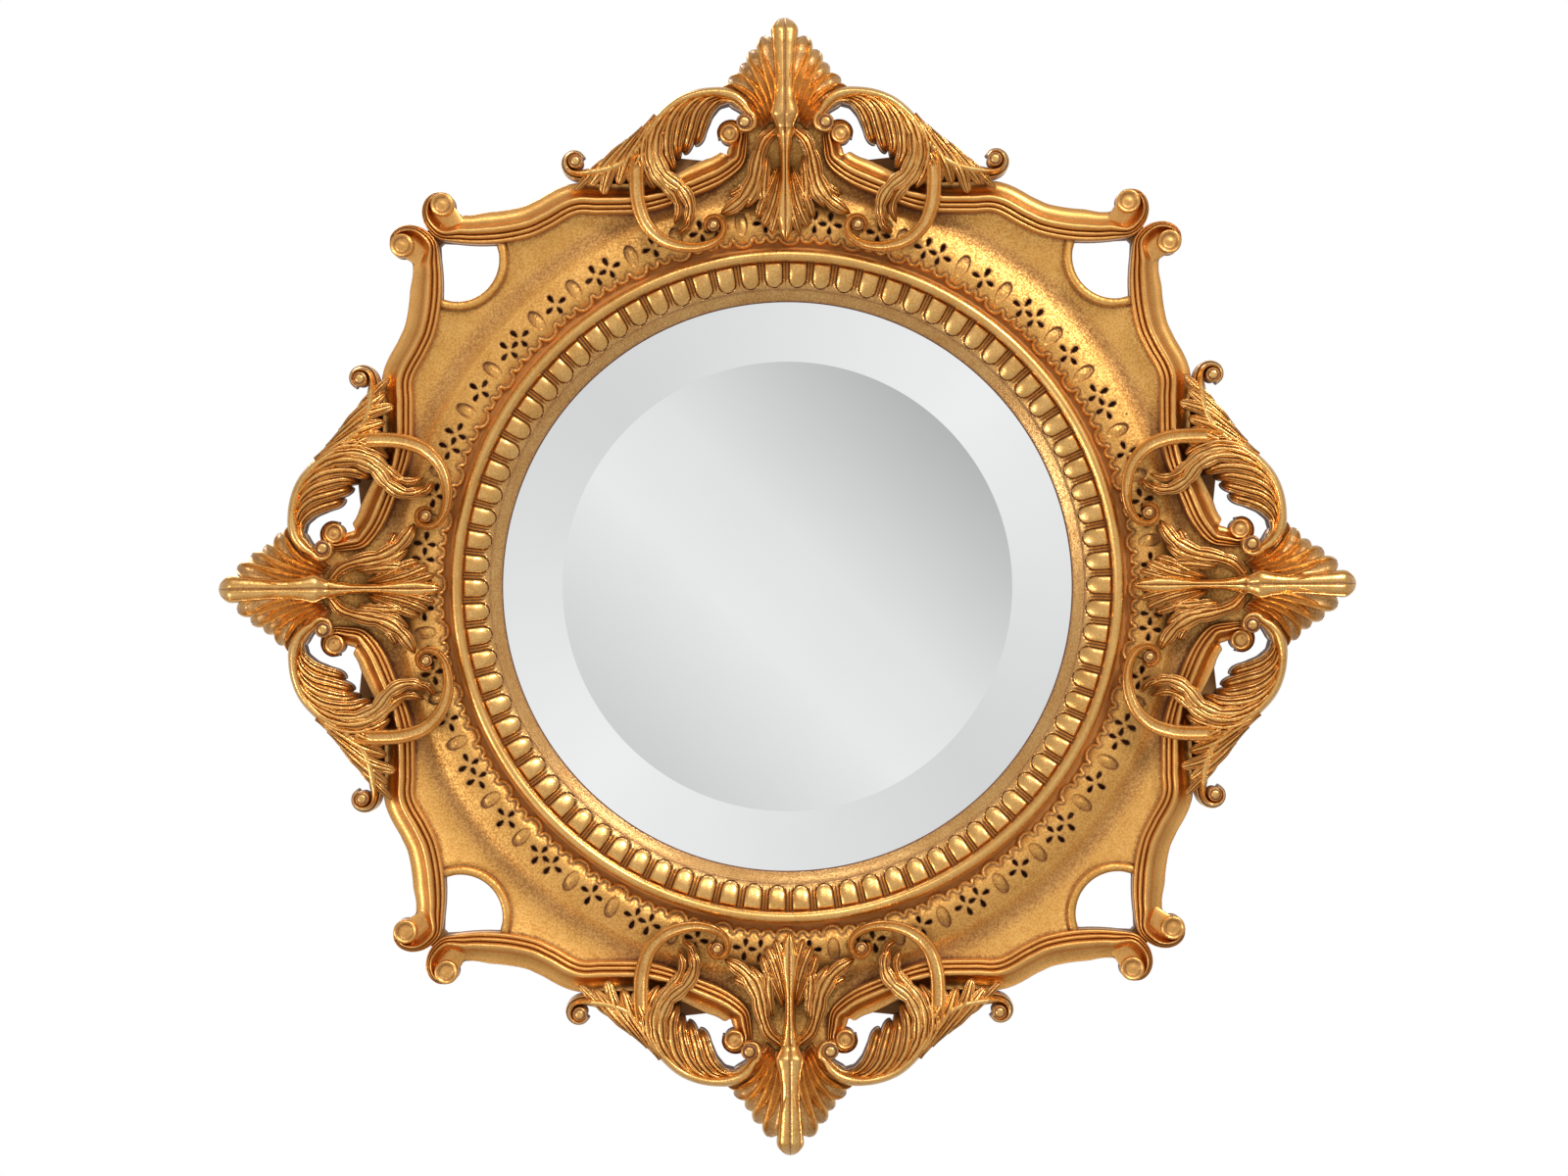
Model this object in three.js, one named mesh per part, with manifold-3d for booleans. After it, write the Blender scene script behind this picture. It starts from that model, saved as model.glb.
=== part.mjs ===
// A round convex mirror in a pierced and carved gilt frame, all sizes in millimetres.
// The frame is drawn lying on its back, facing +Z, with the wall at z = 0. The last group stands
// it up, so that the finished model faces -Y, with +Z up and the wall in the plane y = 0.
// Rings are turned round the centre. Carved pieces are drawn once for the top of the frame, on
// its right hand side, then mirrored and turned to the other three sides.
import * as THREE from 'three';
import { mergeVertices } from 'three/addons/utils/BufferGeometryUtils.js';
import Module from 'manifold-3d';

const wasm = await Module();
wasm.setup();

// ---------------------------------------------------------------- driving dimensions
const seat = 0.3;               // gap left between pieces that touch

// depths, from the wall outwards
const wallGap = 6;              // stand-off given by the bumpers
const boardDepth = 18;          // the wooden back frame
const backingDepth = 3;         // disc that closes the back
const glassEdge = 4;            // thickness of the plate at its rim
const glassDepth = 5;           // thickness of the bent plate
const bevelRise = 12;
const domeRise = 12.6;

// ring widths, from the centre outwards
const sightRadius = 229.4;      // opening of an 18 inch sight
const glassCover = 8.1;         // part of the plate that the frame hides
const bevelWidth = 57;
const holeGap = 2.5;            // between the plate and the back frame's hole
const packingWidth = 12;        // the ring behind the plate's edge
const slopeWidth = 9.3;         // plain slope at the sight edge
const eggLength = 20.4;
const eggNose = 5;              // from an egg's tip to its full width
const eggGroove = 5;            // depth between two eggs
const ringJoint = 1.3;          // between the egg ring and the bead ring
const beadWidth = 9.4;
const coveWidth = 3;            // shadow gap between the bead and the lace
const beadFoot = 12;            // the bead ring's foot runs on under the lace
const laceWidth = 33.7;
const laceSwell = 15.2;         // from the lace's inner edge to its highest circle
const flowerSetback = 18.9;     // from the lace's inner edge to the flowers' middles
const petalReach = 9;
const petalNotch = 2.4;         // from a flower's middle to the notch between petals
const lobeDepth = 6.3;          // the large lobes of the scalloped edge
const smallLobe = 4.3;
const laceDepth = 4;            // thickness of the pierced plate
const ledgeWidth = 3.4;         // rebate that carries the lace
const troughRun = 11.5;         // from the lace to the lowest circle of the field
const fieldRun = 56;            // from the lace to the top of the field

// heights of the mouldings above the back frame
const lipHeight = 3;
const slopeHeight = 13;
const eggHeight = 24;
const beadHeight = 29.7;
const beadSpring = 24;
const coveHeight = 8.5;
const laceEdgeHeight = 16;
const laceCrestHeight = 23;
const laceSeamHeight = 19;
const troughHeight = 14;
const fieldHeight = 23.7;

// carved work
const railHeight = 33;
const railWidth = 25;
const railEyeRadius = 7.5;
const armHeight = 46;
const armWidth = 13.5;
const hookWidth = 11;
const overlayHeight = 10;       // carving that lies over the rails
const leafCrease = 4;           // depth between two lobes of a leaf
const leafFall = 8;             // a leaf's tips lie lower than its root
const leafEdge = 10;            // a leaf's lower edge stands off the base
const shellHeight = 47;
const shellFoot = 20;           // half width of the shell's foot
const shellGroove = 6;          // depth between two ribs of the shell
const shellFall = 14;           // the ribs' ends lie lower than the crown
const pendantHeight = 40;
const pendantTipHeight = 33;
const pendantWidth = 21;        // of the middle leaf at its widest
const sideLeafWidth = 13;
const knopRadius = 9;
const windowRadius = 34;
const rimWidth = 6.5;
const rimHeight = 2;
const boardInset = 3;           // the back frame stays inside the carved outline
const tabHalf = 23;             // the back frame's tab under each crest
const tabRun = 66;
const crestRun = 150.5;         // from the lace to the tip of a crest

// hardware on the back
const screwRadius = 2;
const screwHole = 2.4;
const screwHead = 4.2;
const headHeight = 2.2;
const screwLength = 12;
const pilotGap = 1;             // free depth under a screw's tip
const buttonLength = 42;
const buttonWidth = 14;
const buttonDepth = 1.6;
const buttonSetback = 15;       // of its screw from the back frame's hole
const wireRadius = 1.1;
const loopBore = 1.5;
const loopRadius = 2.5;
const loopLength = 13;
const ringSpan = 20;
const ringDrop = 18;
const strapWidth = 18;
const strapLength = 42;
const strapDepth = 1.2;
const strapNeck = 8;            // the strap's tapered end
const strapScrewInset = 9;
const hangerInset = 79.5;       // from the top of the field to the hanger
const hangerRise = 110;
const bumperRadius = 9;
const bumperRun = 12;           // from the lace outwards

// patterns
const eggCount = 82;
const laceUnits = 20;
const laceSides = 2;            // flat sides of the lace ring's outer edge in each repeat
const ringSteps = 36;
const glassSteps = 32;
const discSteps = 20;
const fieldSteps = 32;
const windowSteps = 12;
const crests = 4;
const latticeTurn = -11;        // degrees: the first lace unit starts this far from the top

// ---------------------------------------------------------------- places worked out from them
const boardFront = wallGap + boardDepth;
const carvedBase = boardFront + seat;
const glassRadius = sightRadius + glassCover;
const domeRadius = glassRadius - bevelWidth;
const holeRadius = glassRadius + holeGap;
const eggStart = sightRadius + slopeWidth;
const eggEnd = eggStart + eggLength;
const beadStart = eggEnd + ringJoint;
const beadEnd = beadStart + beadWidth;
const laceStart = beadEnd + coveWidth;
const laceEnd = laceStart + laceWidth;
const fieldEnd = laceEnd + fieldRun;
const flowerRadius = laceStart + flowerSetback;
const laceCrest = laceStart + laceSwell;
const trough = laceEnd + troughRun;
const hangerSide = fieldEnd - hangerInset;
const overlayBase = carvedBase + railHeight + seat;
const pendantBase = carvedBase + fieldHeight + seat;
const carvingUnit = crestRun / 150.5;     // the carved border is drawn for a crest of 150.5
const clear = boardFront + shellHeight;   // past every piece, for tools that cut right through
const degrees = Math.PI / 180;

// ---------------------------------------------------------------- materials
const gilt = new THREE.MeshStandardMaterial({ color: 0xb98f4e, roughness: 0.42, metalness: 0.8 });
const paleGilt = new THREE.MeshStandardMaterial({ color: 0xc9a566, roughness: 0.38, metalness: 0.8 });
const deepGilt = new THREE.MeshStandardMaterial({ color: 0x9a6f38, roughness: 0.5, metalness: 0.7 });
const mirror = new THREE.MeshStandardMaterial({ color: 0xd5d8da, roughness: 0.04, metalness: 1 });
const wood = new THREE.MeshStandardMaterial({ color: 0x4a3422, roughness: 0.75, metalness: 0 });
const backing = new THREE.MeshStandardMaterial({ color: 0x6b4f35, roughness: 0.85, metalness: 0 });
const packing = new THREE.MeshStandardMaterial({ color: 0xc8a878, roughness: 0.9, metalness: 0 });
const steel = new THREE.MeshStandardMaterial({ color: 0x9a9a98, roughness: 0.35, metalness: 1 });
const brass = new THREE.MeshStandardMaterial({ color: 0xb08d4c, roughness: 0.35, metalness: 1 });
const felt = new THREE.MeshStandardMaterial({ color: 0x3a3330, roughness: 0.95, metalness: 0 });

// ---------------------------------------------------------------- small tools
const point = (x, y) => new THREE.Vector2(x, y);

// A point of the carved work: its angle from the top of the frame, and how far it lies
// outside the lace ring.
function place(angle, out) {
  const radius = laceEnd + out * carvingUnit;
  return point(radius * Math.sin(angle * degrees), radius * Math.cos(angle * degrees));
}

// A point near the centre line of a crest: to the side of it, and outside the lace ring.
const onCrest = (side, out) => point(side * carvingUnit, laceEnd + out * carvingUnit);

// Merges shared corners and turns the faces of a closed surface outwards.
function closed(geometry) {
  geometry.deleteAttribute('normal');
  geometry.deleteAttribute('uv');
  const merged = mergeVertices(geometry, 1e-4);
  const index = merged.index.array;
  const corner = [new THREE.Vector3(), new THREE.Vector3(), new THREE.Vector3()];
  let volume = 0;
  for (let i = 0; i < index.length; i += 3) {
    corner.forEach((c, k) => c.fromBufferAttribute(merged.attributes.position, index[i + k]));
    volume += corner[0].dot(corner[1].cross(corner[2]));
  }
  if (volume < 0) {
    for (let i = 0; i < index.length; i += 3) {
      [index[i + 1], index[i + 2]] = [index[i + 2], index[i + 1]];
    }
  }
  merged.computeVertexNormals();
  return merged;
}

function surface(corners, triangles) {
  const geometry = new THREE.BufferGeometry();
  geometry.setAttribute('position', new THREE.Float32BufferAttribute(corners.flat(), 3));
  geometry.setIndex(triangles.flat());
  return closed(geometry);
}

function solid(geometry) {
  const merged = closed(geometry);
  return new wasm.Manifold(new wasm.Mesh({
    numProp: 3,
    vertProperties: new Float32Array(merged.attributes.position.array),
    triVerts: new Uint32Array(merged.index.array),
  }));
}

function fromSolid(manifold) {
  const mesh = manifold.getMesh();
  const geometry = new THREE.BufferGeometry();
  geometry.setAttribute('position', new THREE.Float32BufferAttribute(mesh.vertProperties, 3));
  geometry.setIndex(new THREE.Uint32BufferAttribute(mesh.triVerts, 1));
  geometry.computeVertexNormals();
  return geometry;
}

const join = (first, ...rest) => rest.reduce((sum, part) => sum.add(part), first);
const cut = (first, ...rest) => rest.reduce((left, part) => left.subtract(part), first);

// A ring or disc turned round the Z axis from a profile of [radius, height] corners.
function turned(profile, steps, isRing) {
  const corners = profile.map(([radius, height]) => point(radius, height));
  if (isRing) corners.push(corners[0].clone());
  return new THREE.LatheGeometry(corners, steps).rotateX(Math.PI / 2);
}

// A flat outline given thickness between two heights.
function slab(outline, low, high) {
  const shape = new THREE.Shape(outline);
  return new THREE.ExtrudeGeometry(shape, { depth: high - low, bevelEnabled: false })
    .translate(0, 0, low);
}

function circle(centre, radius, sides, turn = 0) {
  const corners = [];
  for (let i = 0; i < sides; i += 1) {
    const angle = (i / sides) * 2 * Math.PI + turn;
    corners.push(point(centre.x + radius * Math.cos(angle), centre.y + radius * Math.sin(angle)));
  }
  return corners;
}

// Flat triangles over an outline with holes, all wound the same way as the outline.
function flatTriangles(outline, holes = []) {
  const all = [outline, ...holes].flat();
  const sense = Math.sign(THREE.ShapeUtils.area(outline));
  return THREE.ShapeUtils.triangulateShape(outline.slice(), holes.map((hole) => hole.slice()))
    .filter(([a, b, c]) => Math.abs(THREE.ShapeUtils.area([all[a], all[b], all[c]])) > 0)
    .map(([a, b, c]) => {
      const same = Math.sign(THREE.ShapeUtils.area([all[a], all[b], all[c]])) === sense;
      return same ? [a, b, c] : [a, c, b];
    });
}

// A solid stretched through a row of sections that all have the same number of corners.
// shape is the flat section, used to close both ends.
function loft(sections, shape) {
  const count = shape.length;
  const triangles = [];
  for (let i = 0; i + 1 < sections.length; i += 1) {
    for (let j = 0; j < count; j += 1) {
      const next = (j + 1) % count;
      const a = i * count + j;
      const b = i * count + next;
      triangles.push([a, b, b + count], [a, b + count, a + count]);
    }
  }
  const last = (sections.length - 1) * count;
  for (const [a, b, c] of flatTriangles(shape.map(([x, y]) => point(x, y)))) {
    triangles.push([a, c, b], [last + a, last + b, last + c]);
  }
  return surface(sections.flat(), triangles);
}

// The value at u of a table of [u, value] pairs, eased between them.
function along(table, u) {
  const next = table.findIndex(([at]) => at >= u);
  if (next < 0) return table[table.length - 1][1];
  if (next === 0) return table[0][1];
  const [u0, v0] = table[next - 1];
  const [u1, v1] = table[next];
  return v0 + (v1 - v0) * THREE.MathUtils.smoothstep(u, u0, u1);
}

// Corners of a volute: the radius goes from one value to the other as the angle turns,
// slowly at first when opening is above 1.
function volute({ centre, from, to, fromRadius, toRadius, opening = 1, corners = 6 }) {
  const list = [];
  for (let i = 0; i < corners; i += 1) {
    const t = i / (corners - 1);
    const angle = (from + (to - from) * t) * degrees;
    const radius = (fromRadius + (toRadius - fromRadius) * t ** opening) * carvingUnit;
    list.push(point(centre.x + radius * Math.cos(angle), centre.y + radius * Math.sin(angle)));
  }
  return list;
}

// Stations on a smooth line through the given corners, just close enough that the chords
// between them leave the line by no more than the given sag and turn by no more than maxTurn.
function stations(corners, sag) {
  const fine = 400;
  const maxTurn = 62 * degrees;
  const curve = new THREE.CatmullRomCurve3(
    corners.map((c) => new THREE.Vector3(c.x, c.y, 0)), false, 'centripetal');
  const points = curve.getSpacedPoints(fine);
  const leaves = (from, to) => {
    if (curve.getTangentAt(from / fine).angleTo(curve.getTangentAt(to / fine)) > maxTurn) return true;
    const chord = new THREE.Line3(points[from], points[to]);
    const nearest = new THREE.Vector3();
    for (let i = from + 1; i < to; i += 1) {
      chord.closestPointToPoint(points[i], true, nearest);
      if (nearest.distanceTo(points[i]) > sag) return true;
    }
    return false;
  };
  const list = [];
  let last = 0;
  for (let i = 0; i <= fine; i += 1) {
    const due = i === 0 || i === fine || (i < fine - 4 && leaves(last, i + 1));
    if (due) {
      const u = i / fine;
      const tangent = curve.getTangentAt(u);
      list.push({ u, at: point(points[i].x, points[i].y), across: point(tangent.y, -tangent.x) });
      last = i;
    }
  }
  return list;
}

// Stations spread evenly over a straight line.
function spread([from, to], parts) {
  const run = to.clone().sub(from).normalize();
  return Array.from({ length: parts + 1 }, (unused, i) => {
    return { u: i / parts, at: from.clone().lerp(to, i / parts), across: point(run.y, -run.x) };
  });
}

// A moulding carried along stations. shape holds [across, rise] corners, across from -1 to 1
// of the half width and rise from 0 to 1 of the height. With edge set, the stations mark the
// -1 edge of the moulding, otherwise its middle.
function moulding({ line, width, base, top, shape, edge = false }) {
  const sections = line.map(({ u, at, across }) => {
    const half = along(width, u) / 2;
    const low = along(base, u);
    const high = along(top, u);
    return shape.map(([a, rise]) => {
      const shift = (edge ? 1 + a : a) * half;
      return [at.x + across.x * shift, at.y + across.y * shift, low + (high - low) * rise];
    });
  });
  return loft(sections, shape);
}

// A low domed boss, such as the eye of a volute.
function boss(centre, radius, low, high, sides = 5) {
  const rise = radius * 0.6;
  return turned([[0, low], [radius, low], [radius, high - rise], [0, high]], sides, false)
    .translate(centre.x, centre.y, 0);
}

// ---------------------------------------------------------------- glass and what holds it
const plateFront = (radius) => boardFront + bevelRise * (glassRadius - radius) / bevelWidth;

function makeMirror() {
  const bevelTop = boardFront + bevelRise;
  const dome = [0, 0.36, 0.7].map((part) => {
    const radius = part * domeRadius;
    return [radius, bevelTop + domeRise * (1 - part * part)];
  });
  return closed(turned([
    ...dome,
    [domeRadius, bevelTop],
    [glassRadius, boardFront],
    [glassRadius, boardFront - glassEdge],
    [domeRadius, bevelTop - glassDepth],
    [0, bevelTop + domeRise - glassDepth],
  ], glassSteps, false));
}

function makePacking() {
  const low = wallGap + backingDepth + seat;
  const high = boardFront - glassEdge - seat;
  const outer = glassRadius;
  const inner = outer - packingWidth;
  return closed(turned([[inner, low], [outer, low], [outer, high], [inner, high]], discSteps, true));
}

function makeBacking() {
  const radius = glassRadius;
  return closed(turned([[0, wallGap], [radius, wallGap], [radius, wallGap + backingDepth],
    [0, wallGap + backingDepth]], discSteps, false));
}

// ---------------------------------------------------------------- turned and carved rings
// The egg ring: a lip over the glass, a plain slope and a band of eggs, each with a rounded
// nose towards the glass and a square outer end.
function makeEggRing() {
  const corners = [];
  const triangles = [];
  const pitch = 2 * Math.PI / eggCount;
  const halfWidth = 0.22;
  const start = boardFront + slopeHeight;
  const crown = boardFront + eggHeight;
  const tip = eggLength * 0.07;
  const add = (radius, turn, height) => {
    corners.push([radius * Math.sin(turn), radius * Math.cos(turn), height]);
  };
  const perEgg = 10;
  for (let i = 0; i < eggCount; i += 1) {
    const groove = i * pitch;
    const left = groove + pitch * (0.5 - halfWidth);
    const right = groove + pitch * (0.5 + halfWidth);
    const middle = groove + pitch * 0.5;
    add(sightRadius, groove, boardFront + lipHeight);
    add(eggStart, groove, start);
    add(eggEnd, groove, crown - eggGroove);
    add(eggEnd, groove, carvedBase);
    add(glassRadius, groove, carvedBase);
    add(eggStart + tip, middle, start + (crown - start) * 0.27);
    add(eggStart + eggNose, left, start + (crown - start) * 0.73);
    add(eggStart + eggNose, right, start + (crown - start) * 0.73);
    add(eggEnd - tip / 2, left, crown);
    add(eggEnd - tip / 2, right, crown);
  }
  for (let i = 0; i < eggCount; i += 1) {
    const a = i * perEgg;
    const b = ((i + 1) % eggCount) * perEgg;
    const [nose, left, right, leftEnd, rightEnd] = [a + 5, a + 6, a + 7, a + 8, a + 9];
    for (const [low, high] of [[0, 1], [2, 3], [3, 4], [4, 0]]) {
      triangles.push([a + low, b + low, b + high], [a + low, b + high, a + high]);
    }
    triangles.push([a + 1, b + 1, nose], [a + 1, nose, left], [b + 1, right, nose]);
    triangles.push([nose, right, left], [left, right, rightEnd], [left, rightEnd, leftEnd]);
    triangles.push([a + 1, left, leftEnd], [a + 1, leftEnd, a + 2]);
    triangles.push([b + 1, b + 2, rightEnd], [b + 1, rightEnd, right]);
    triangles.push([a + 2, leftEnd, rightEnd], [a + 2, rightEnd, b + 2]);
  }
  return surface(corners, triangles);
}

function makeBeadRing() {
  const spring = boardFront + beadSpring;
  const top = boardFront + beadHeight;
  const foot = boardFront + coveHeight;
  const middle = (beadStart + beadEnd) / 2;
  return closed(turned([
    [beadStart, carvedBase],
    [beadStart, spring],
    [middle - beadWidth * 0.25, top],
    [middle + beadWidth * 0.25, top],
    [beadEnd, spring],
    [laceStart, foot],
    [laceStart + beadFoot, carvedBase],
  ], ringSteps, true));
}

// Height of the lace and the field at a radius: a swell over the lace, a trough outside it,
// then a rise to the carved border.
function faceHeight(radius) {
  return boardFront + along([
    [laceStart, laceEdgeHeight],
    [laceCrest, laceCrestHeight],
    [laceEnd, laceSeamHeight],
    [trough, troughHeight],
    [fieldEnd, fieldHeight],
  ], radius);
}

// One repeat of the lace has a round lobe, a single flower, a round lobe and a double flower,
// and three small lobes beside each flower. These are their angles in degrees.
const roundLobes = [0, 7.6];
const singleFlower = 3.8;
const doubleFlower = [11.6, 14];
const cusps = [-1.75, 1.75, 3.8, 5.85, 9.35, 11.65, 13.95, 16.25];

// Corners of a four-petalled hole, clockwise from the petal that points outwards: a petal's tip
// and the notch after it, four times.
function flower(centre, turn) {
  return Array.from({ length: 8 }, (unused, i) => {
    const angle = turn + i * Math.PI / 4;
    const radius = i % 2 ? petalNotch : petalReach;
    return point(centre.x + radius * Math.sin(angle), centre.y + radius * Math.cos(angle));
  });
}

function makeLace() {
  const onRing = (angle, radius) => {
    return point(radius * Math.sin(angle * degrees), radius * Math.cos(angle * degrees));
  };
  const pitch = 360 / laceUnits;

  const inner = [];
  for (let i = 0; i + 1 < cusps.length; i += 1) {
    const from = cusps[i];
    const to = cusps[i + 1];
    const round = roundLobes.some((lobe) => lobe > from && lobe < to);
    const deep = round ? lobeDepth : smallLobe;
    const parts = round ? [0, 0.16, 0.5, 0.84] : [0, 0.5];
    for (const part of parts) {
      const bulge = Math.sqrt(1 - (2 * part - 1) ** 2);
      inner.push(onRing(from + (to - from) * part, laceStart + lobeDepth - deep * bulge));
    }
  }
  inner.push(onRing(cusps[cusps.length - 1], laceStart + lobeDepth));
  const outer = Array.from({ length: laceSides + 1 }, (unused, i) => {
    return onRing(cusps[0] + pitch * (1 - i / laceSides), laceEnd - seat);
  });
  const outline = [...inner, ...outer];

  const flowerAt = (angle) => flower(onRing(angle, flowerRadius), angle * degrees);
  const [first, second] = doubleFlower.map(flowerAt);
  // the two flowers of a pair share the petal between them
  const pair = [...first.slice(0, 2), second[7], ...second.slice(0, 2), ...second.slice(2, 6),
    ...first.slice(3, 8)];
  const flowers = [flowerAt(singleFlower), pair];

  const corners = [];
  const triangles = [];
  const put = (points, lift) => points.map(({ x, y }) => {
    corners.push([x, y, faceHeight(Math.hypot(x, y)) + lift]);
    return corners.length - 1;
  });
  const wall = (upper, lower, open) => {
    const count = open ? upper.length - 1 : upper.length;
    for (let i = 0; i < count; i += 1) {
      const next = (i + 1) % upper.length;
      triangles.push([upper[i], lower[next], upper[next]], [upper[i], lower[i], lower[next]]);
    }
  };
  const turnedBack = (list) => (THREE.ShapeUtils.area(list) < 0 ? list : list.slice().reverse());
  const turnedOn = (list) => (THREE.ShapeUtils.area(list) > 0 ? list : list.slice().reverse());

  const rim = turnedOn(outline);
  const holes = flowers.map(turnedBack);
  const upper = [rim, ...holes].map((list) => put(list, 0));
  const lower = [rim, ...holes].map((list) => put(list, -laceDepth));
  const upperIds = upper.flat();
  const lowerIds = lower.flat();
  for (const [a, b, c] of flatTriangles(rim, holes)) {
    triangles.push([upperIds[a], upperIds[b], upperIds[c]]);
    triangles.push([lowerIds[a], lowerIds[c], lowerIds[b]]);
  }
  holes.forEach((hole, i) => wall(upper[i + 1], lower[i + 1], false));
  // the two straight sides of a repeat meet its neighbours, so only the rest gets walls
  const sideAngles = [cusps[0], cusps[cusps.length - 1]];
  const isSide = (p, q) => {
    const turnOf = (r) => Math.atan2(r.x, r.y) / degrees;
    return sideAngles.some((angle) => {
      return Math.abs(turnOf(p) - angle) < 0.01 && Math.abs(turnOf(q) - angle) < 0.01;
    });
  };
  rim.forEach((p, i) => {
    const next = (i + 1) % rim.length;
    if (!isSide(p, rim[next])) {
      wall([upper[0][i], upper[0][next]], [lower[0][i], lower[0][next]], true);
    }
  });

  const allCorners = [];
  const allTriangles = [];
  for (let unit = 0; unit < laceUnits; unit += 1) {
    const turn = -(unit * pitch - latticeTurn) * degrees;
    for (const [a, b, c] of triangles) {
      allTriangles.push([a, b, c].map((id) => id + allCorners.length));
    }
    for (const [x, y, z] of corners) {
      const at = point(x, y).rotateAround(point(0, 0), turn);
      allCorners.push([at.x, at.y, z]);
    }
  }
  return surface(allCorners, allTriangles);
}

// ---------------------------------------------------------------- carved border
const railEye = place(41.8, 104.9);
const curlCentre = place(7, 58.4);

// The inner edge of a rail: the corner volute, the long hollow under the corner window's
// outer side, a kink, the straight run below the crest and the curl beside the pendant.
const railLine = stations([
  ...volute({
    centre: place(42.3, 104.7), from: 97, to: -83.5, fromRadius: 13, toRadius: 24, opening: 4,
    corners: 6,
  }),
  place(43.9, 77.7), place(40.5, 55.5), place(36, 40.4), place(33.2, 37.3), place(29.2, 35.7),
  place(26.5, 27.3), place(20.1, 13.6), place(14.1, 14.5), place(8.5, 21.3), place(5.6, 33),
  ...volute({
    centre: curlCentre, from: 210, to: 40, fromRadius: 16.5, toRadius: 11.8, opening: 0.4,
    corners: 5,
  }),
], 2.2 * carvingUnit);

// The values of a table of [u, share] pairs, each share multiplied by size and set above base.
const shares = (size, table, base = 0) => table.map(([u, share]) => [u, base + size * share]);

const railBreadth = shares(railWidth, [[0, 0.28], [0.07, 0.4], [0.143, 0.56], [0.19, 0.96],
  [0.25, 1.04], [0.45, 0.98], [0.6, 0.98], [0.72, 0.82], [0.8, 0.82], [0.87, 0.6], [0.93, 0.42],
  [1, 0.26]]);

// A reed and a broader ridge on the inner side, then a slope that falls to the outer edge.
const railShape = [[-1, 0], [-0.94, 0.92], [-0.5, 0.8], [-0.15, 1], [0.2, 0.7], [1, 0.52],
  [1, 0]];

function makeRail() {
  const top = carvedBase + railHeight;
  const band = moulding({
    line: railLine, width: railBreadth, base: [[0, carvedBase]], top: [[0, top]],
    shape: railShape, edge: true,
  });
  return join(solid(band), solid(boss(railEye, railEyeRadius, carvedBase, top - rimHeight)));
}

// One side of a crest: an S-scroll that climbs from the rail to the shell, a hook that curls
// in over the lace, and leaves that hang from the scroll's inner side.
const armEye = place(26.2, 72.9);
const innerEye = place(5, 65.2);
const hookEye = place(11.2, -12);
const leafTop = overlayBase + overlayHeight;

// Each volute ends in a thick round tip, its eye.
function makeArm() {
  const armLine = stations([
    ...volute({
      centre: armEye, from: 225, to: -90, fromRadius: 3.4, toRadius: 10.4, corners: 8,
    }),
    place(23.5, 55.1), place(21.1, 54.6), place(19.5, 58.1), place(17.8, 63.7),
    place(16.1, 73), place(14.6, 80.6), place(12.1, 88.7), place(9.1, 90.9),
    place(6.2, 86.6), place(5.1, 80.4),
    ...volute({
      centre: innerEye, from: 115, to: 375, fromRadius: 8.4, toRadius: 3.2, corners: 6,
    }),
  ], 1.3 * carvingUnit);
  const scroll = moulding({
    line: armLine,
    width: shares(armWidth, [[0, 0.4], [0.025, 0.68], [0.08, 0.5], [0.16, 0.62], [0.26, 1],
      [0.38, 1], [0.48, 0.95], [0.6, 1], [0.74, 1], [0.82, 0.72], [0.9, 0.5], [0.97, 0.68],
      [1, 0.4]]),
    base: [[0, carvedBase], [0.7, carvedBase], [0.8, overlayBase]],
    top: shares(armHeight, [[0, 0.9], [0.08, 0.87], [0.5, 0.96], [0.85, 1], [1, 1.02]], carvedBase),
    shape: [[-1, 0], [-0.8, 0.9], [0.2, 1], [1, 0]],
  });
  const hookLine = stations([
    place(17.6, 51), place(18.7, 34.5), place(19.3, 24), place(19.9, 11.9), place(20, 2.2),
    place(18.7, -12.7), place(15.5, -21.4), place(11.8, -23.3), place(10.4, -20.7),
    ...volute({
      centre: hookEye, from: -20, to: 190, fromRadius: 8.4, toRadius: 3.4, corners: 5,
    }),
  ], 1.2 * carvingUnit);
  const hook = moulding({
    line: hookLine,
    width: shares(hookWidth, [[0, 1], [0.2, 1.1], [0.5, 0.95], [0.72, 0.75], [0.87, 0.5],
      [0.95, 0.65], [1, 0.35]]),
    base: [[0, overlayBase], [0.46, overlayBase], [0.64, pendantBase]],
    top: shares(overlayHeight, [[0, 1], [0.4, 1], [0.85, 0.4], [1, 0.6]], overlayBase),
    shape: [[-1, 0], [-0.8, 1], [0, 0.6], [0.8, 1], [1, 0]],
  });
  const tail = moulding({
    line: stations([place(17, 47.6), place(15.2, 34.7), place(13.3, 17), place(13, 5),
      place(14, -5.5), place(15.4, -11.5)], carvingUnit),
    width: shares(hookWidth, [[0, 0.64], [0.45, 0.82], [1, 0.32]]),
    base: [[0, overlayBase]],
    top: shares(overlayHeight, [[0, 1], [1, 0.7]], overlayBase),
    shape: [[-1, 0], [-0.2, 1], [1, 0]],
  });
  return join(solid(scroll), solid(makeLeaves()), solid(hook), solid(tail));
}

// The leaves that hang from the scroll: creases run from under its band to the tips of three
// lobes and the notches between them. Each row is [angle, out] at the root, [angle, out] at
// the end, and whether it is a raised crease.
const leafCreases = [
  [12.2, 86, 10.9, 70, 0], [12.8, 85, 11.7, 55, 1], [13.6, 81, 12.7, 61, 0],
  [14.4, 77, 13.1, 49, 1], [15.2, 71, 14, 50.5, 0], [16.2, 63, 13.9, 40, 1],
  [17.4, 57, 15.6, 41, 0], [18.6, 53, 17.6, 41, 0],
];

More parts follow.
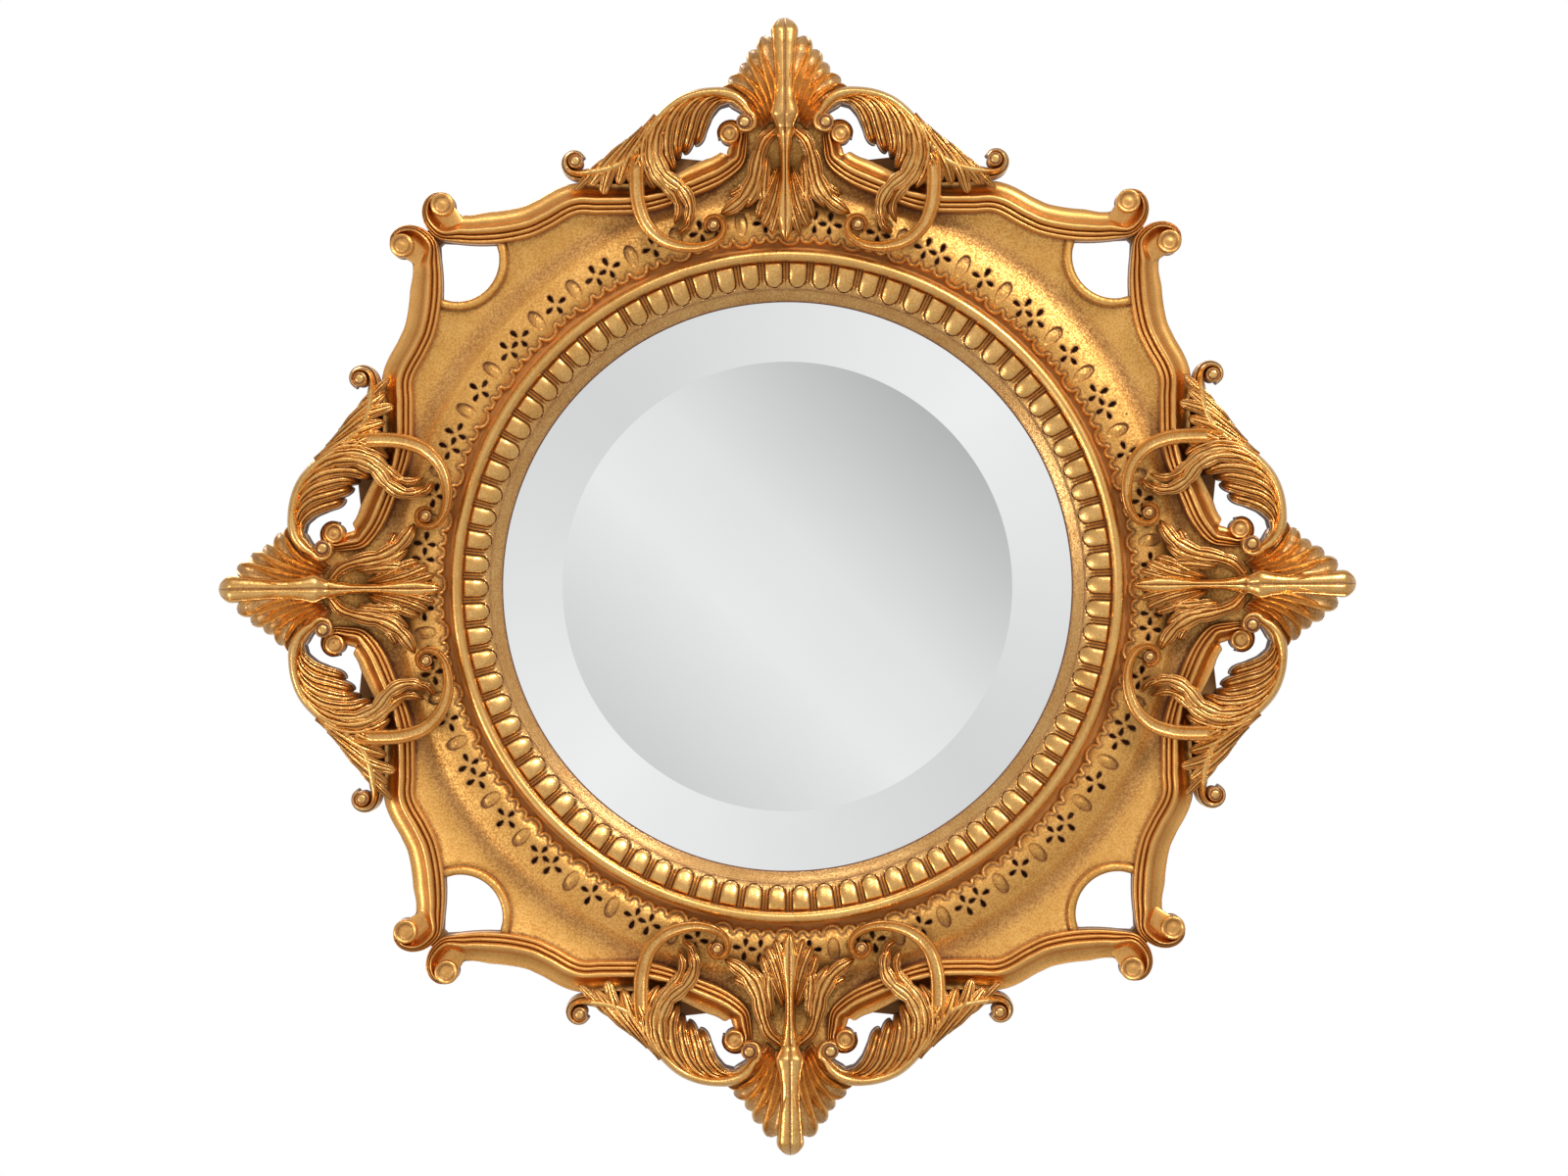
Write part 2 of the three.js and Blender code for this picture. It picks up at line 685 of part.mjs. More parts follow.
function makeLeaves() {
  const rows = leafCreases.map(([rootAngle, rootOut, tipAngle, tipOut, raised]) => {
    const root = place(rootAngle, rootOut);
    const tip = place(tipAngle, tipOut);
    const middle = root.clone().lerp(tip, 0.45);
    const top = leafTop - (raised ? 0 : leafCrease);
    return [
      [root.x, root.y, top],
      [middle.x, middle.y, top],
      [tip.x, tip.y, top - leafFall],
      [tip.x, tip.y, carvedBase + leafEdge],
      [root.x, root.y, carvedBase],
    ];
  });
  return loft(rows, [[0, 1], [1, 1], [2, 1], [2, 0], [0, 0]]);
}

// The shell: ribs fan out from its foot, each ending in a rounded lobe, with a groove on
// either side. Each row is [side, out] at the foot, then [side, out] at the outer end.
const shellRibs = [
  [0, 150.5, 1], [9.6, 143.5, 1], [14, 129.4, 0], [21.6, 134, 1], [28, 121, 0], [32.9, 120.8, 1],
  [36.3, 109.8, 0], [39.2, 107.8, 1], [41.8, 103, 0], [51.5, 102, 1], [56.2, 97.8, 0],
];

function makeShell() {
  const footOut = 57;
  const footRise = 10.5;
  const bend = 0.35;
  const lift = 11.5 * carvingUnit;
  const base = carvedBase;
  const top = base + shellHeight;
  const last = shellRibs.length - 1;
  const rib = (i, sign) => {
    const [side, out, raised] = shellRibs[i];
    const share = (i / last) ** 0.75;
    const sink = raised ? 0 : shellGroove;
    const foot = onCrest(sign * shellFoot * share, footOut + footRise * share ** 2);
    const tip = onCrest(sign * side, out);
    const waist = foot.clone().lerp(tip, bend).add(point(0, lift * share ** 3));
    return [
      [foot.x, foot.y, top - shellFall * 0.3],
      [waist.x, waist.y, top - sink * 0.6],
      [tip.x, tip.y, top - shellFall - sink],
      [tip.x, tip.y, base],
      [foot.x, foot.y, base],
    ];
  };
  const rows = [];
  for (let i = last; i > 0; i -= 1) rows.push(rib(i, -1));
  for (let i = 0; i <= last; i += 1) rows.push(rib(i, 1));
  const shape = [[0, 1], [1, 1], [2, 1], [2, 0], [0, 0]];
  return loft(rows, shape);
}

// The pendant: a long middle leaf that hangs over the lace, a curling leaf on each side of it
// and a knop that ties them together under the shell.
function makePendant() {
  const top = carvedBase + pendantHeight;
  const tipTop = carvedBase + pendantTipHeight;
  const knopAt = onCrest(0, 47);
  const leafShape = [[-1, 0], [-0.8, 0.8], [0, 1], [0.8, 0.8], [1, 0]];
  const middle = moulding({
    line: spread([onCrest(0, 53), onCrest(0, -30.5)], 5),
    width: shares(pendantWidth, [[0, 0.57], [0.2, 0.38], [0.62, 0.43], [0.8, 1], [0.9, 0.57],
      [1, 0.14]]),
    base: [[0, pendantBase]],
    top: [[0, top], [1, tipTop]],
    shape: leafShape,
  });
  const side = (sign) => {
    const route = [[17.5, 46.5], [20.5, 37], [24, 26], [31, 10], [38.5, -1], [44.5, -7.2],
      [48, -10.4]].map(([x, out]) => onCrest(sign * x, out));
    const root = knopAt.clone().add(point(sign * knopRadius * 0.75, knopRadius * 0.5));
    return moulding({
      line: stations([root, ...route], carvingUnit),
      width: shares(sideLeafWidth, [[0, 0.4], [0.3, 0.6], [0.55, 0.92], [0.8, 1], [1, 0.3]]),
      base: [[0, pendantBase]],
      top: [[0, top], [1, tipTop]],
      shape: [[-1, 0], [-0.6, 0.9], [0.2, 1], [1, 0]],
    });
  };
  const knop = slab(circle(knopAt, knopRadius, 6), pendantBase, top + seat);
  return join(solid(middle), solid(side(1)), solid(side(-1)), solid(knop));
}

// ---------------------------------------------------------------- field and back frame
const windowCentre = place(45, 66);

// The area inside the rails, as one outline: each rail's inner edge moved in by gap.
function fieldOutline(gap) {
  const half = railLine
    .filter(({ u }) => u > 0.12 && u < 0.9)
    .map(({ at, across }) => at.clone().addScaledVector(across, -gap))
    .filter(({ x, y }) => y > x + gap);
  const outline = [];
  for (let crest = 0; crest < crests; crest += 1) {
    const turn = -crest * 90 * degrees;
    const left = half.map(({ x, y }) => point(-x, y));
    const right = half.slice().reverse();
    for (const corner of [...left, ...right]) {
      outline.push(corner.clone().rotateAround(point(0, 0), turn));
    }
  }
  return outline;
}

const everySide = (make) => Array.from({ length: crests }, (unused, i) => make(-i * Math.PI / 2));

const windowRounds = () => everySide((turn) => {
  return solid(slab(circle(windowCentre, windowRadius, windowSteps), 0, clear).rotateZ(turn));
});

function makeField() {
  const beyond = fieldEnd + railWidth;
  const ledge = faceHeight(laceEnd - seat) - laceDepth - seat;
  const plate = turned([
    [laceEnd - ledgeWidth, carvedBase],
    [laceEnd - ledgeWidth, faceHeight(laceEnd)],
    [trough, faceHeight(trough)],
    [(trough + fieldEnd) / 2, faceHeight((trough + fieldEnd) / 2)],
    [beyond + railWidth, faceHeight(fieldEnd)],
    [beyond + railWidth, carvedBase],
  ], fieldSteps, true);
  const area = solid(slab(fieldOutline(seat), 0, clear));
  const rimTop = boardFront + fieldHeight + rimHeight;
  const rims = everySide((turn) => {
    const ring = turned([[windowRadius - seat, carvedBase], [windowRadius + rimWidth, carvedBase],
      [windowRadius + rimWidth, rimTop], [windowRadius - seat, rimTop]], windowSteps, true);
    return solid(ring.translate(windowCentre.x, windowCentre.y, 0).rotateZ(turn));
  });
  const sides = laceUnits * laceSides;
  const rebate = slab(circle(point(0, 0), laceEnd, sides, (90 + latticeTurn - cusps[0]) * degrees),
    ledge, clear);
  return cut(join(solid(plate), ...rims).intersect(area), solid(rebate), ...windowRounds());
}

// Places of the screws in the back frame, as [x, y].
const buttonPlaces = everySide((turn) => {
  return point(0, holeRadius + buttonSetback).rotateAround(point(0, 0), turn);
});
const strapScrewDrop = strapLength - strapScrewInset;
const hangerPlaces = [point(-hangerSide, hangerRise), point(hangerSide, hangerRise)];

// Outline of the back frame: it follows the outer edges of the rails just inside them, with a
// lug behind each corner volute and each arm's foot, and a tab under each crest.
function boardOutline() {
  const angleOf = ({ x, y }) => Math.atan2(x, y) / degrees;
  const edge = railLine.filter(({ u }) => u > 0.2 && u < 0.9).map(({ u, at, across }) => {
    return at.clone().addScaledVector(across, along(railBreadth, u) - boardInset);
  });
  const right = [
    place(43.8, 101), place(41.5, 108), place(41, 91.5),
    ...edge.filter((corner) => angleOf(corner) > 20.6),
    place(19.2, 52), place(17.4, 58),
    ...edge.filter((corner) => angleOf(corner) < 15.6),
    onCrest(tabHalf, tabRun),
  ];
  const left = right.map(({ x, y }) => point(-x, y));
  return everySide((turn) => [...left, ...right.slice().reverse()].map((corner) => {
    return corner.clone().rotateAround(point(0, 0), turn);
  })).flat();
}

function makeBoard() {
  const hole = solid(turned([[0, 0], [holeRadius, 0], [holeRadius, clear], [0, clear]],
    glassSteps, false));
  const pilots = [...buttonPlaces, ...hangerPlaces.map(({ x, y }) => point(x, y - strapScrewDrop))]
    .map((at) => solid(slab(circle(at, screwHole, 6), 0, wallGap + screwLength)));
  const area = solid(slab(fieldOutline(seat), 0, clear));
  const windows = windowRounds().map((round) => round.intersect(area));
  const plate = solid(slab(boardOutline(), wallGap, boardFront));
  return cut(plate, hole, ...windows, ...pilots);
}

// ---------------------------------------------------------------- hardware
const headBottom = wallGap - seat - buttonDepth - seat;

function makeScrew(at, headFace) {
  return closed(turned([
    [0, headFace - headHeight],
    [screwHead * 0.6, headFace - headHeight],
    [screwHead, headFace],
    [screwRadius, headFace],
    [screwRadius, wallGap + screwLength - pilotGap],
    [0, wallGap + screwLength - pilotGap],
  ], 6, false).translate(at.x, at.y, 0));
}

// A turn button lies across the edge of the backing disc and turns on its screw.
function makeButton(at, turn) {
  const low = wallGap - seat - buttonDepth;
  const half = buttonWidth / 2;
  const inward = buttonLength - half - half;
  const round = (centre, from) => [0, 45, 90, 135, 180].map((step) => {
    const angle = (from + step) * degrees;
    return point(centre + half * Math.cos(angle), half * Math.sin(angle));
  });
  const outline = [...round(0, 270), ...round(-inward, 90)];
  const plate = solid(slab(outline, low, low + buttonDepth));
  const hole = solid(slab(circle(point(0, 0), screwHole, 6), 0, wallGap));
  return fromSolid(cut(plate, hole)).rotateZ(turn).translate(at.x, at.y, 0);
}

// Height of the hanger ring's hinge line above the wall.
const loopHeight = wallGap - seat - loopRadius;

function makeStrap(at) {
  const high = wallGap - seat;
  const half = strapWidth / 2;
  const low = strapDepth - strapLength;
  const plate = slab([point(-half, low), point(half, low), point(half, -strapNeck),
    point(loopLength / 2, 0), point(-loopLength / 2, 0), point(-half, -strapNeck)],
  high - strapDepth, high);
  const across = (radius, length) => new THREE.CylinderGeometry(radius, radius, length, 8)
    .rotateZ(Math.PI / 2).translate(0, 0, loopHeight);
  const hole = slab(circle(point(0, -strapScrewDrop), screwHole, 6), 0, wallGap);
  const strap = cut(join(solid(plate), solid(across(loopRadius, loopLength))),
    solid(across(loopBore, loopLength + 2)), solid(hole));
  return fromSolid(strap).translate(at.x, at.y, 0);
}

// The ring is a wire D: its straight side runs through the strap's loop and it hangs down.
function makeHangerRing(at) {
  const half = ringSpan / 2;
  const corners = [[-half, 0], [0, 0], [half, 0], [half + 1, -3], [half, -ringDrop * 0.55],
    [half * 0.6, -ringDrop * 0.9], [0, -ringDrop], [-half * 0.6, -ringDrop * 0.9],
    [-half, -ringDrop * 0.55], [-half - 1, -3]];
  const sides = 6;
  const rings = corners.map(([x, y], i) => {
    const before = corners[(i + corners.length - 1) % corners.length];
    const after = corners[(i + 1) % corners.length];
    const run = point(after[0] - before[0], after[1] - before[1]).normalize();
    return circle(point(0, 0), wireRadius, sides).map((c) => {
      return [x + run.y * c.x, y - run.x * c.x, loopHeight + c.y];
    });
  });
  const triangles = [];
  rings.forEach((ring, i) => {
    for (let j = 0; j < sides; j += 1) {
      const a = i * sides + j;
      const b = i * sides + (j + 1) % sides;
      const c = ((i + 1) % rings.length) * sides + j;
      const d = ((i + 1) % rings.length) * sides + (j + 1) % sides;
      triangles.push([a, b, d], [a, d, c]);
    }
  });
  return surface(rings.flat(), triangles).translate(at.x, at.y, 0);
}

// ---------------------------------------------------------------- the whole mirror
const lying = new THREE.Group();

function add(name, geometry, material, group = lying) {
  const mesh = new THREE.Mesh(geometry, material);
  mesh.name = name;
  group.add(mesh);
}

// A copy mirrored from the right hand side to the left.
function mirrored(geometry) {
  return closed(geometry.clone().scale(-1, 1, 1));
}

add('mirror_plate', makeMirror(), mirror);
add('packing_ring', makePacking(), packing);
add('backing_board', makeBacking(), backing);
add('back_frame', fromSolid(makeBoard()), wood);
add('egg_ring', makeEggRing(), gilt);
add('bead_ring', makeBeadRing(), gilt);
add('lace_ring', makeLace(), paleGilt);
add('field_panel', fromSolid(makeField()), paleGilt);

const rail = fromSolid(makeRail());
const arm = fromSolid(makeArm());
const shell = makeShell();
const pendant = fromSolid(makePendant());
['top', 'right', 'bottom', 'left'].forEach((name, i) => {
  const group = new THREE.Group();
  group.rotation.z = -i * Math.PI / 2;
  lying.add(group);
  add(`rail_${name}_b`, rail, deepGilt, group);
  add(`rail_${name}_a`, mirrored(rail), deepGilt, group);
  add(`arm_${name}_b`, arm, gilt, group);
  add(`arm_${name}_a`, mirrored(arm), gilt, group);
  add(`shell_${name}`, shell, paleGilt, group);
  add(`pendant_${name}`, pendant, gilt, group);
});

buttonPlaces.forEach((at, i) => {
  add(`turn_button_${i + 1}`, makeButton(at, Math.atan2(at.y, at.x)), brass);
  add(`button_screw_${i + 1}`, makeScrew(at, headBottom), steel);
});
['left', 'right'].forEach((name, i) => {
  const at = hangerPlaces[i];
  add(`hanger_strap_${name}`, makeStrap(at), steel);
  add(`hanger_ring_${name}`, makeHangerRing(at), steel);
  add(`hanger_screw_${name}`, makeScrew(point(at.x, at.y - strapScrewDrop),
    wallGap - seat - strapDepth - seat), steel);
});
everySide((turn) => place(45, bumperRun).rotateAround(point(0, 0), turn)).forEach((at, i) => {
  const pad = slab(circle(at, bumperRadius, 8), 0, wallGap - seat);
  add(`bumper_${i + 1}`, closed(pad), felt);
});

const frame = new THREE.Group();
frame.add(lying);
lying.rotation.x = Math.PI / 2;

export default frame;
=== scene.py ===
# %% [markdown]
# # A round convex mirror in a carved gilt frame
# The mirror hangs flat on a wall and faces -Y, with +Z up and the wall in the plane y = 0.
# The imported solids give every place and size. This lesson dresses them: it works out finely
# carved surfaces with numpy and gives each one a procedural finish.

import math

import bpy
import numpy as np
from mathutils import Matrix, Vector
from mathutils.geometry import delaunay_2d_cdt


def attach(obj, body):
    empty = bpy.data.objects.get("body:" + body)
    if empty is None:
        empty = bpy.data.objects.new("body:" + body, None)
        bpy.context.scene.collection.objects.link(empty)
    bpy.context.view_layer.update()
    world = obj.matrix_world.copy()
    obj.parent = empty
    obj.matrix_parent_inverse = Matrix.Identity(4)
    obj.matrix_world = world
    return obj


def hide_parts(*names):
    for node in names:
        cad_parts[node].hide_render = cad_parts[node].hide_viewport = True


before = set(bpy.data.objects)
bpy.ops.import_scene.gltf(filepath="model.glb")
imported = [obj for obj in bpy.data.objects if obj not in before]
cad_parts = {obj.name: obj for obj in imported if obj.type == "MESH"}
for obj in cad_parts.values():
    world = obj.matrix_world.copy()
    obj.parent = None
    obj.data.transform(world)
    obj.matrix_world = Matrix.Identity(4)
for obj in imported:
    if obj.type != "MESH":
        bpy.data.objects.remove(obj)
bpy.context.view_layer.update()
print("solids loaded:", len(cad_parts))

# %% [markdown]
# ## The camera
# A long lens stands straight in front of the glass, about four metres away. The picture is
# 1600 x 1200 pixels and one pixel covers 0.784 mm of the frame. The frame hangs turned by a
# small angle in the picture, so the camera rolls by it instead.

# %% Camera
PICTURE_WIDTH, PIXEL = 1600, 0.784e-3
MIDDLE = (-3.5, -1.5)            # the picture's middle, in pixels from the middle of the glass
FACE_Y, DISTANCE = -0.05, 3.9    # the plane where a pixel has that size, and the way to it
ROLL, SENSOR = math.radians(0.3), 36

camera_data = bpy.data.cameras.new("camera")
camera_data.sensor_width = SENSOR
camera_data.lens = SENSOR * DISTANCE / (PICTURE_WIDTH * PIXEL)
camera = bpy.data.objects.new("camera", camera_data)
bpy.context.scene.collection.objects.link(camera)
camera.location = (MIDDLE[0] * PIXEL, FACE_Y - DISTANCE, MIDDLE[1] * PIXEL)
camera.rotation_euler = (math.radians(90), ROLL, 0)
bpy.context.scene.camera = camera
print("lens %.1f mm" % camera_data.lens)

# %% [markdown]
# ## Measures
# All shapes are drawn in millimetres on a frame that lies on its back: x to the right, y up
# the wall and h out from the wall. `to_frame` stands them up. The rings keep the radii of
# the solids.

# %% Measures of the solids
SIGHT, GLASS_R, DOME_R = 229.4, 237.5, 180.5
EGG_IN, EGG_OUT = 238.7, 259.1
BEAD_IN, BEAD_OUT = 260.4, 269.8
LACE_IN, LACE_OUT, FIELD_OUT = 272.8, 306.5, 362.5
BOARD, BASE = 24.0, 24.3
OVER_RAIL, OVER_FIELD = 57.6, 48.3
DEG = math.pi / 180


def to_frame(corners):
    """x stays, the height h becomes -Y, y becomes Z, and millimetres become metres."""
    corners = np.asarray(corners, float)
    return np.stack([corners[:, 0], -corners[:, 2], corners[:, 1]], 1) / 1000


def place(angle, out):
    """A point by its angle from the top of the frame and its distance outside the lace."""
    radius = LACE_OUT + out
    return [radius * math.sin(angle * DEG), radius * math.cos(angle * DEG)]


def eased(table, u):
    """The value at u of a table of [u, value] pairs, with a smoothstep between neighbours."""
    table = np.asarray(table, float)
    k = np.clip(np.searchsorted(table[:, 0], u) - 1, 0, max(len(table) - 2, 0))
    if len(table) == 1:
        return np.full(np.shape(u), table[0, 1])
    t = np.clip((u - table[k, 0]) / (table[k + 1, 0] - table[k, 0]), 0, 1)
    return table[k, 1] + (table[k + 1, 1] - table[k, 1]) * t * t * (3 - 2 * t)


print("a corner window is centred at", np.round(place(45, 66), 1), "mm")

# %% [markdown]
# ## Surfaces from numpy
# A surface is a grid of corners and two triangles for each cell. Closed surfaces are turned
# outwards by the sign of their volume. A shell is a surface with a third part: a value for
# each corner, 0 on a crest and 1 deep in a groove, that sets how much painted shade it gets.

# %% Grids and shells
def grid_triangles(rows, columns, wrap=True):
    """Cell (i, j) has corners (i, j), (i, j+1), (i+1, j+1) and (i+1, j), cut into two."""
    i = np.arange(rows - 1)[:, None]
    j = np.arange(columns if wrap else columns - 1)[None, :]
    a, b = i * columns + j, i * columns + (j + 1) % columns
    c, d = a + columns, b + columns
    return np.concatenate([np.stack([a, b, d], -1), np.stack([a, d, c], -1)]).reshape(-1, 3)


def closed_round(rows, columns):
    """A grid whose columns go round and whose last row is joined to its first, as on a ring."""
    last, i = (rows - 1) * columns, np.arange(columns)
    k = (i + 1) % columns
    return np.concatenate([grid_triangles(rows, columns), np.stack([last + i, last + k, k], 1),
                           np.stack([last + i, k, i], 1)])


def outward(corners, triangles):
    """The volume of a closed surface is a sixth of the sum of a . (b x c). A negative one
    means that the triangles face inwards, so they are turned over."""
    a, b, c = (corners[triangles[:, k]] for k in range(3))
    volume = np.einsum("ij,ij->i", a, np.cross(b, c)).sum()
    return triangles if volume > 0 else triangles[:, ::-1]


def gather(*shells):
    """Lays several (corners, triangles, hollow) shells into one."""
    start = np.cumsum([0] + [len(s[0]) for s in shells[:-1]])
    return (np.concatenate([s[0] for s in shells]),
            np.concatenate([s[1] + n for s, n in zip(shells, start)]),
            np.concatenate([s[2] for s in shells]))


def turned_to(shell, quarter=0, mirrored=False, at=(0, 0), angle=None):
    """The shell mirrored left to right, turned by quarters (or an angle) about h and moved."""
    corners, triangles, hollow_shade = shell
    corners = corners.copy()
    if mirrored:
        corners[:, 0] *= -1
        triangles = triangles[:, ::-1]
    turn = -quarter * math.pi / 2 if angle is None else angle
    x, y = corners[:, 0].copy(), corners[:, 1].copy()
    corners[:, 0] = x * math.cos(turn) - y * math.sin(turn) + at[0]
    corners[:, 1] = x * math.sin(turn) + y * math.cos(turn) + at[1]
    return corners, triangles, hollow_shade


print("a 3 x 4 grid has", len(grid_triangles(3, 4)), "triangles, a ring of it",
      len(closed_round(3, 4)))

# %% [markdown]
# A piece is a mesh with one finish. The painted-shade values go into the mesh as an attribute,
# which the gilding reads to paint shade into the grooves in the colour of its dark red clay.
# Each piece rides on a body and takes the place of one of the solids.

# %% Pieces
finishes = {}


def make_piece(name, shell, finish, body="frame", replaces=(), sharp=38):
    """Puts a shell into a mesh with foreach_set, and ties the piece to its body and nodes."""
    corners, triangles, hollow_shade = shell
    mesh = bpy.data.meshes.new(name)
    mesh.vertices.add(len(corners))
    mesh.vertices.foreach_set("co", to_frame(corners).astype(np.float32).ravel())
    mesh.loops.add(triangles.size)
    mesh.loops.foreach_set("vertex_index", triangles.astype(np.int32).ravel())
    mesh.polygons.add(len(triangles))
    mesh.polygons.foreach_set("loop_start", np.arange(0, triangles.size, 3, dtype=np.int32))
    mesh.update(calc_edges=True)
    mesh.polygons.foreach_set("use_smooth", np.ones(len(triangles), bool))
    mesh.set_sharp_from_angle(angle=sharp * DEG)
    # the attribute holds the painted shade of each corner
    layer = mesh.attributes.new("hollow_shade", "FLOAT", "POINT")
    layer.data.foreach_set("value", np.clip(hollow_shade, 0, 1).astype(np.float32))
    mesh.materials.append(finishes[finish])
    piece = bpy.data.objects.new(name, mesh)
    bpy.context.scene.collection.objects.link(piece)
    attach(piece, body)
    if replaces:
        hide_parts(*replaces)
    return piece


# %% [markdown]
# A turned piece is a profile spun round the middle, as a turner makes a moulding.

# %% Turned shells
def turn(profile, steps, hollow_shade=None):
    """Spins [radius, height] corners round the h axis. Corners on the axis close into one."""
    profile = np.asarray(profile, float)
    angle = np.arange(steps) / steps * 2 * math.pi
    corners = np.stack([profile[:, None, 0] * np.sin(angle), profile[:, None, 0] * np.cos(angle),
                        np.repeat(profile[:, 1:2], steps, 1)], -1).reshape(-1, 3)
    # the painted shade of each profile corner, repeated round the ring
    painted_shade = np.zeros(len(profile)) if hollow_shade is None else np.asarray(hollow_shade, float)
    if profile[0, 0] > 0:
        triangles = closed_round(len(profile), steps)
    else:
        merged = np.arange(len(corners))
        merged[:steps] = 0
        merged[-steps:] = len(corners) - steps
        triangles = merged[grid_triangles(len(profile), steps)]
        flat = (triangles[:, 0] == triangles[:, 1]) | (triangles[:, 1] == triangles[:, 2])
        triangles = triangles[~(flat | (triangles[:, 2] == triangles[:, 0]))]
    return corners, outward(corners, triangles), np.repeat(painted_shade, steps)


print("a cone of 8 steps has", len(turn([[0, 1], [1, 0], [0, 0]], 8)[1]), "triangles")

# %% [markdown]
# The lines of scrolls and leaves are drawn through a few points that were measured in the
# picture. A smooth curve joins them, and spirals are points that turn round a middle.

# %% Drawn lines
def smooth_line(points, count):
    """A centripetal Catmull-Rom curve through the points, at count places evenly apart."""
    p = np.asarray(points, float)
    p = np.concatenate([[2 * p[0] - p[1]], p, [2 * p[-1] - p[-2]]])
    knots = np.concatenate([[0], np.cumsum(np.linalg.norm(np.diff(p, axis=0), axis=1) ** 0.5)])
    fine = []
    for i in range(1, len(p) - 2):
        t0, t1, t2, t3 = knots[i - 1:i + 3]
        t = np.linspace(t1, t2, 40, endpoint=False)[:, None]
        a = (t1 - t) / (t1 - t0) * p[i - 1] + (t - t0) / (t1 - t0) * p[i]
        b = (t2 - t) / (t2 - t1) * p[i] + (t - t1) / (t2 - t1) * p[i + 1]
        c = (t3 - t) / (t3 - t2) * p[i + 1] + (t - t2) / (t3 - t2) * p[i + 2]
        d = (t2 - t) / (t2 - t0) * a + (t - t0) / (t2 - t0) * b
        e = (t3 - t) / (t3 - t1) * b + (t - t1) / (t3 - t1) * c
        fine.append((t2 - t) / (t2 - t1) * d + (t - t1) / (t2 - t1) * e)
    fine = np.concatenate(fine + [p[-2:-1]])
    run = np.concatenate([[0], np.cumsum(np.linalg.norm(np.diff(fine, axis=0), axis=1))])
    at = np.linspace(0, run[-1], count)
    return np.stack([np.interp(at, run, fine[:, 0]), np.interp(at, run, fine[:, 1])], 1)


def volute(centre, start, end, r0, r1, opening, corners):
    """Corners of a spiral: the angle goes from start to end and the radius from r0 to r1."""
    t = np.arange(corners) / (corners - 1)
    angle = (start + (end - start) * t) * DEG
    radius = r0 + (r1 - r0) * t ** opening
    return np.stack([centre[0] + radius * np.cos(angle),
                     centre[1] + radius * np.sin(angle)], 1).tolist()


print("a half turn ends at", np.round(volute([0, 0], 0, 180, 5, 5, 1, 5)[-1], 3))

# %% [markdown]
# A carved piece is a profile carried along a drawn line, as a carver follows a scroll with
# one gouge. Its painted shade comes from the profile: a corner between two crests, or near
# the foot, is shaded.

# %% Carried shells
def grooves(profile, depth=5.0):
    """Painted shade for each profile corner: more the further it lies below the lower of the
    crests on its two sides, and more the nearer it lies to the foot."""
    rise = profile[:, 1]
    left = np.maximum.accumulate(rise)
    right = np.maximum.accumulate(rise[::-1])[::-1]
    foot_shade = np.clip(0.55 - rise, 0, 1) * 1.6
    return np.clip((np.minimum(left, right) - rise) * depth + foot_shade, 0, 1)


def carry(line, width, low, high, profile, edge=False, depth=5.0, relief=None):
    """Carries [across, rise] corners along a line: a corner lies across x half the width to
    the right of the line, and at low + rise x (high - low). With relief, a corner with a rise
    above 0 lies (1 - rise) x relief below the top instead, so that a tall piece is carved as
    shallowly as a thin one. With edge the line is the -1 side of the moulding. Fans from the
    middle of each end close it. Painted shade grows depth times as fast as a groove sinks."""
    profile = np.asarray(profile, float)
    n, m = len(line), len(profile)
    u = np.linspace(0, 1, n)
    tangent = np.gradient(line, axis=0)
    tangent /= np.linalg.norm(tangent, axis=1)[:, None]
    across = np.stack([tangent[:, 1], -tangent[:, 0]], 1)
    half = eased(width, u) / 2
    low_u, high_u = eased(low, u), eased(high, u)
    shift = half[:, None] * (profile[None, :, 0] + (1 if edge else 0))
    xy = line[:, None, :] + across[:, None, :] * shift[..., None]
    h = low_u[:, None] + (high_u - low_u)[:, None] * profile[None, :, 1]
    if relief is not None:
        carved = high_u[:, None] - (np.minimum(relief, high_u - low_u)[:, None]
                                    * (1 - profile[None, :, 1]))
        h = np.where(profile[None, :, 1] > 0, carved, h)
    corners = np.concatenate([xy, h[..., None]], -1).reshape(-1, 3)
    triangles = grid_triangles(n, m)
    ends = np.stack([corners[:m].mean(0), corners[-m:].mean(0)])
    j = np.arange(m)
    k = (j + 1) % m
    first = np.stack([np.full(m, n * m), k, j], 1)
    last = np.stack([np.full(m, n * m + 1), (n - 1) * m + j, (n - 1) * m + k], 1)
    corners = np.concatenate([corners, ends])
    triangles = np.concatenate([triangles, first, last])
    # painted shade in the grooves and near the foot, and half shade on the end fans
    hollow_shade = np.concatenate([np.tile(grooves(profile, depth), n), [0.5, 0.5]])
    return corners, outward(corners, triangles), hollow_shade


def arched(spans):
    """A row of half-round reeds: each span is [from, to, foot, crest] and gives an arc."""
    t = np.linspace(0, 1, 9)
    arc = np.sqrt(np.clip(1 - (2 * t - 1) ** 2, 0, 1))
    return np.concatenate([np.stack([start + (end - start) * t, foot + (crest - foot) * arc], 1)
                           for start, end, foot, crest in spans])


print("a reed has", len(arched([[0, 1, 0, 1]])), "corners")

# %% [markdown]
# ## Gilding
# Gold leaf is laid over red clay. It is burnished on the crests and worn and speckled
# everywhere, and shade is painted into the grooves in the clay's dark red. Materials are trees
# of nodes, and a few helpers keep the lines that build them short.

# %% Node helpers
def node(tree, kind, values=None, **fields):
    """Adds a node, sets its fields, and sets or links its inputs by name or number."""
    made = tree.nodes.new(kind)
    for field, value in fields.items():
        setattr(made, field, value)
    for key, value in (values or {}).items():
        if isinstance(value, bpy.types.NodeSocket):
            tree.links.new(value, made.inputs[key])
        else:
            made.inputs[key].default_value = value
    return made


def arithmetic(tree, operation, *values):
    """A node that does one step of arithmetic on sockets or numbers."""
    return node(tree, "ShaderNodeMath", dict(enumerate(values)), operation=operation).outputs[0]


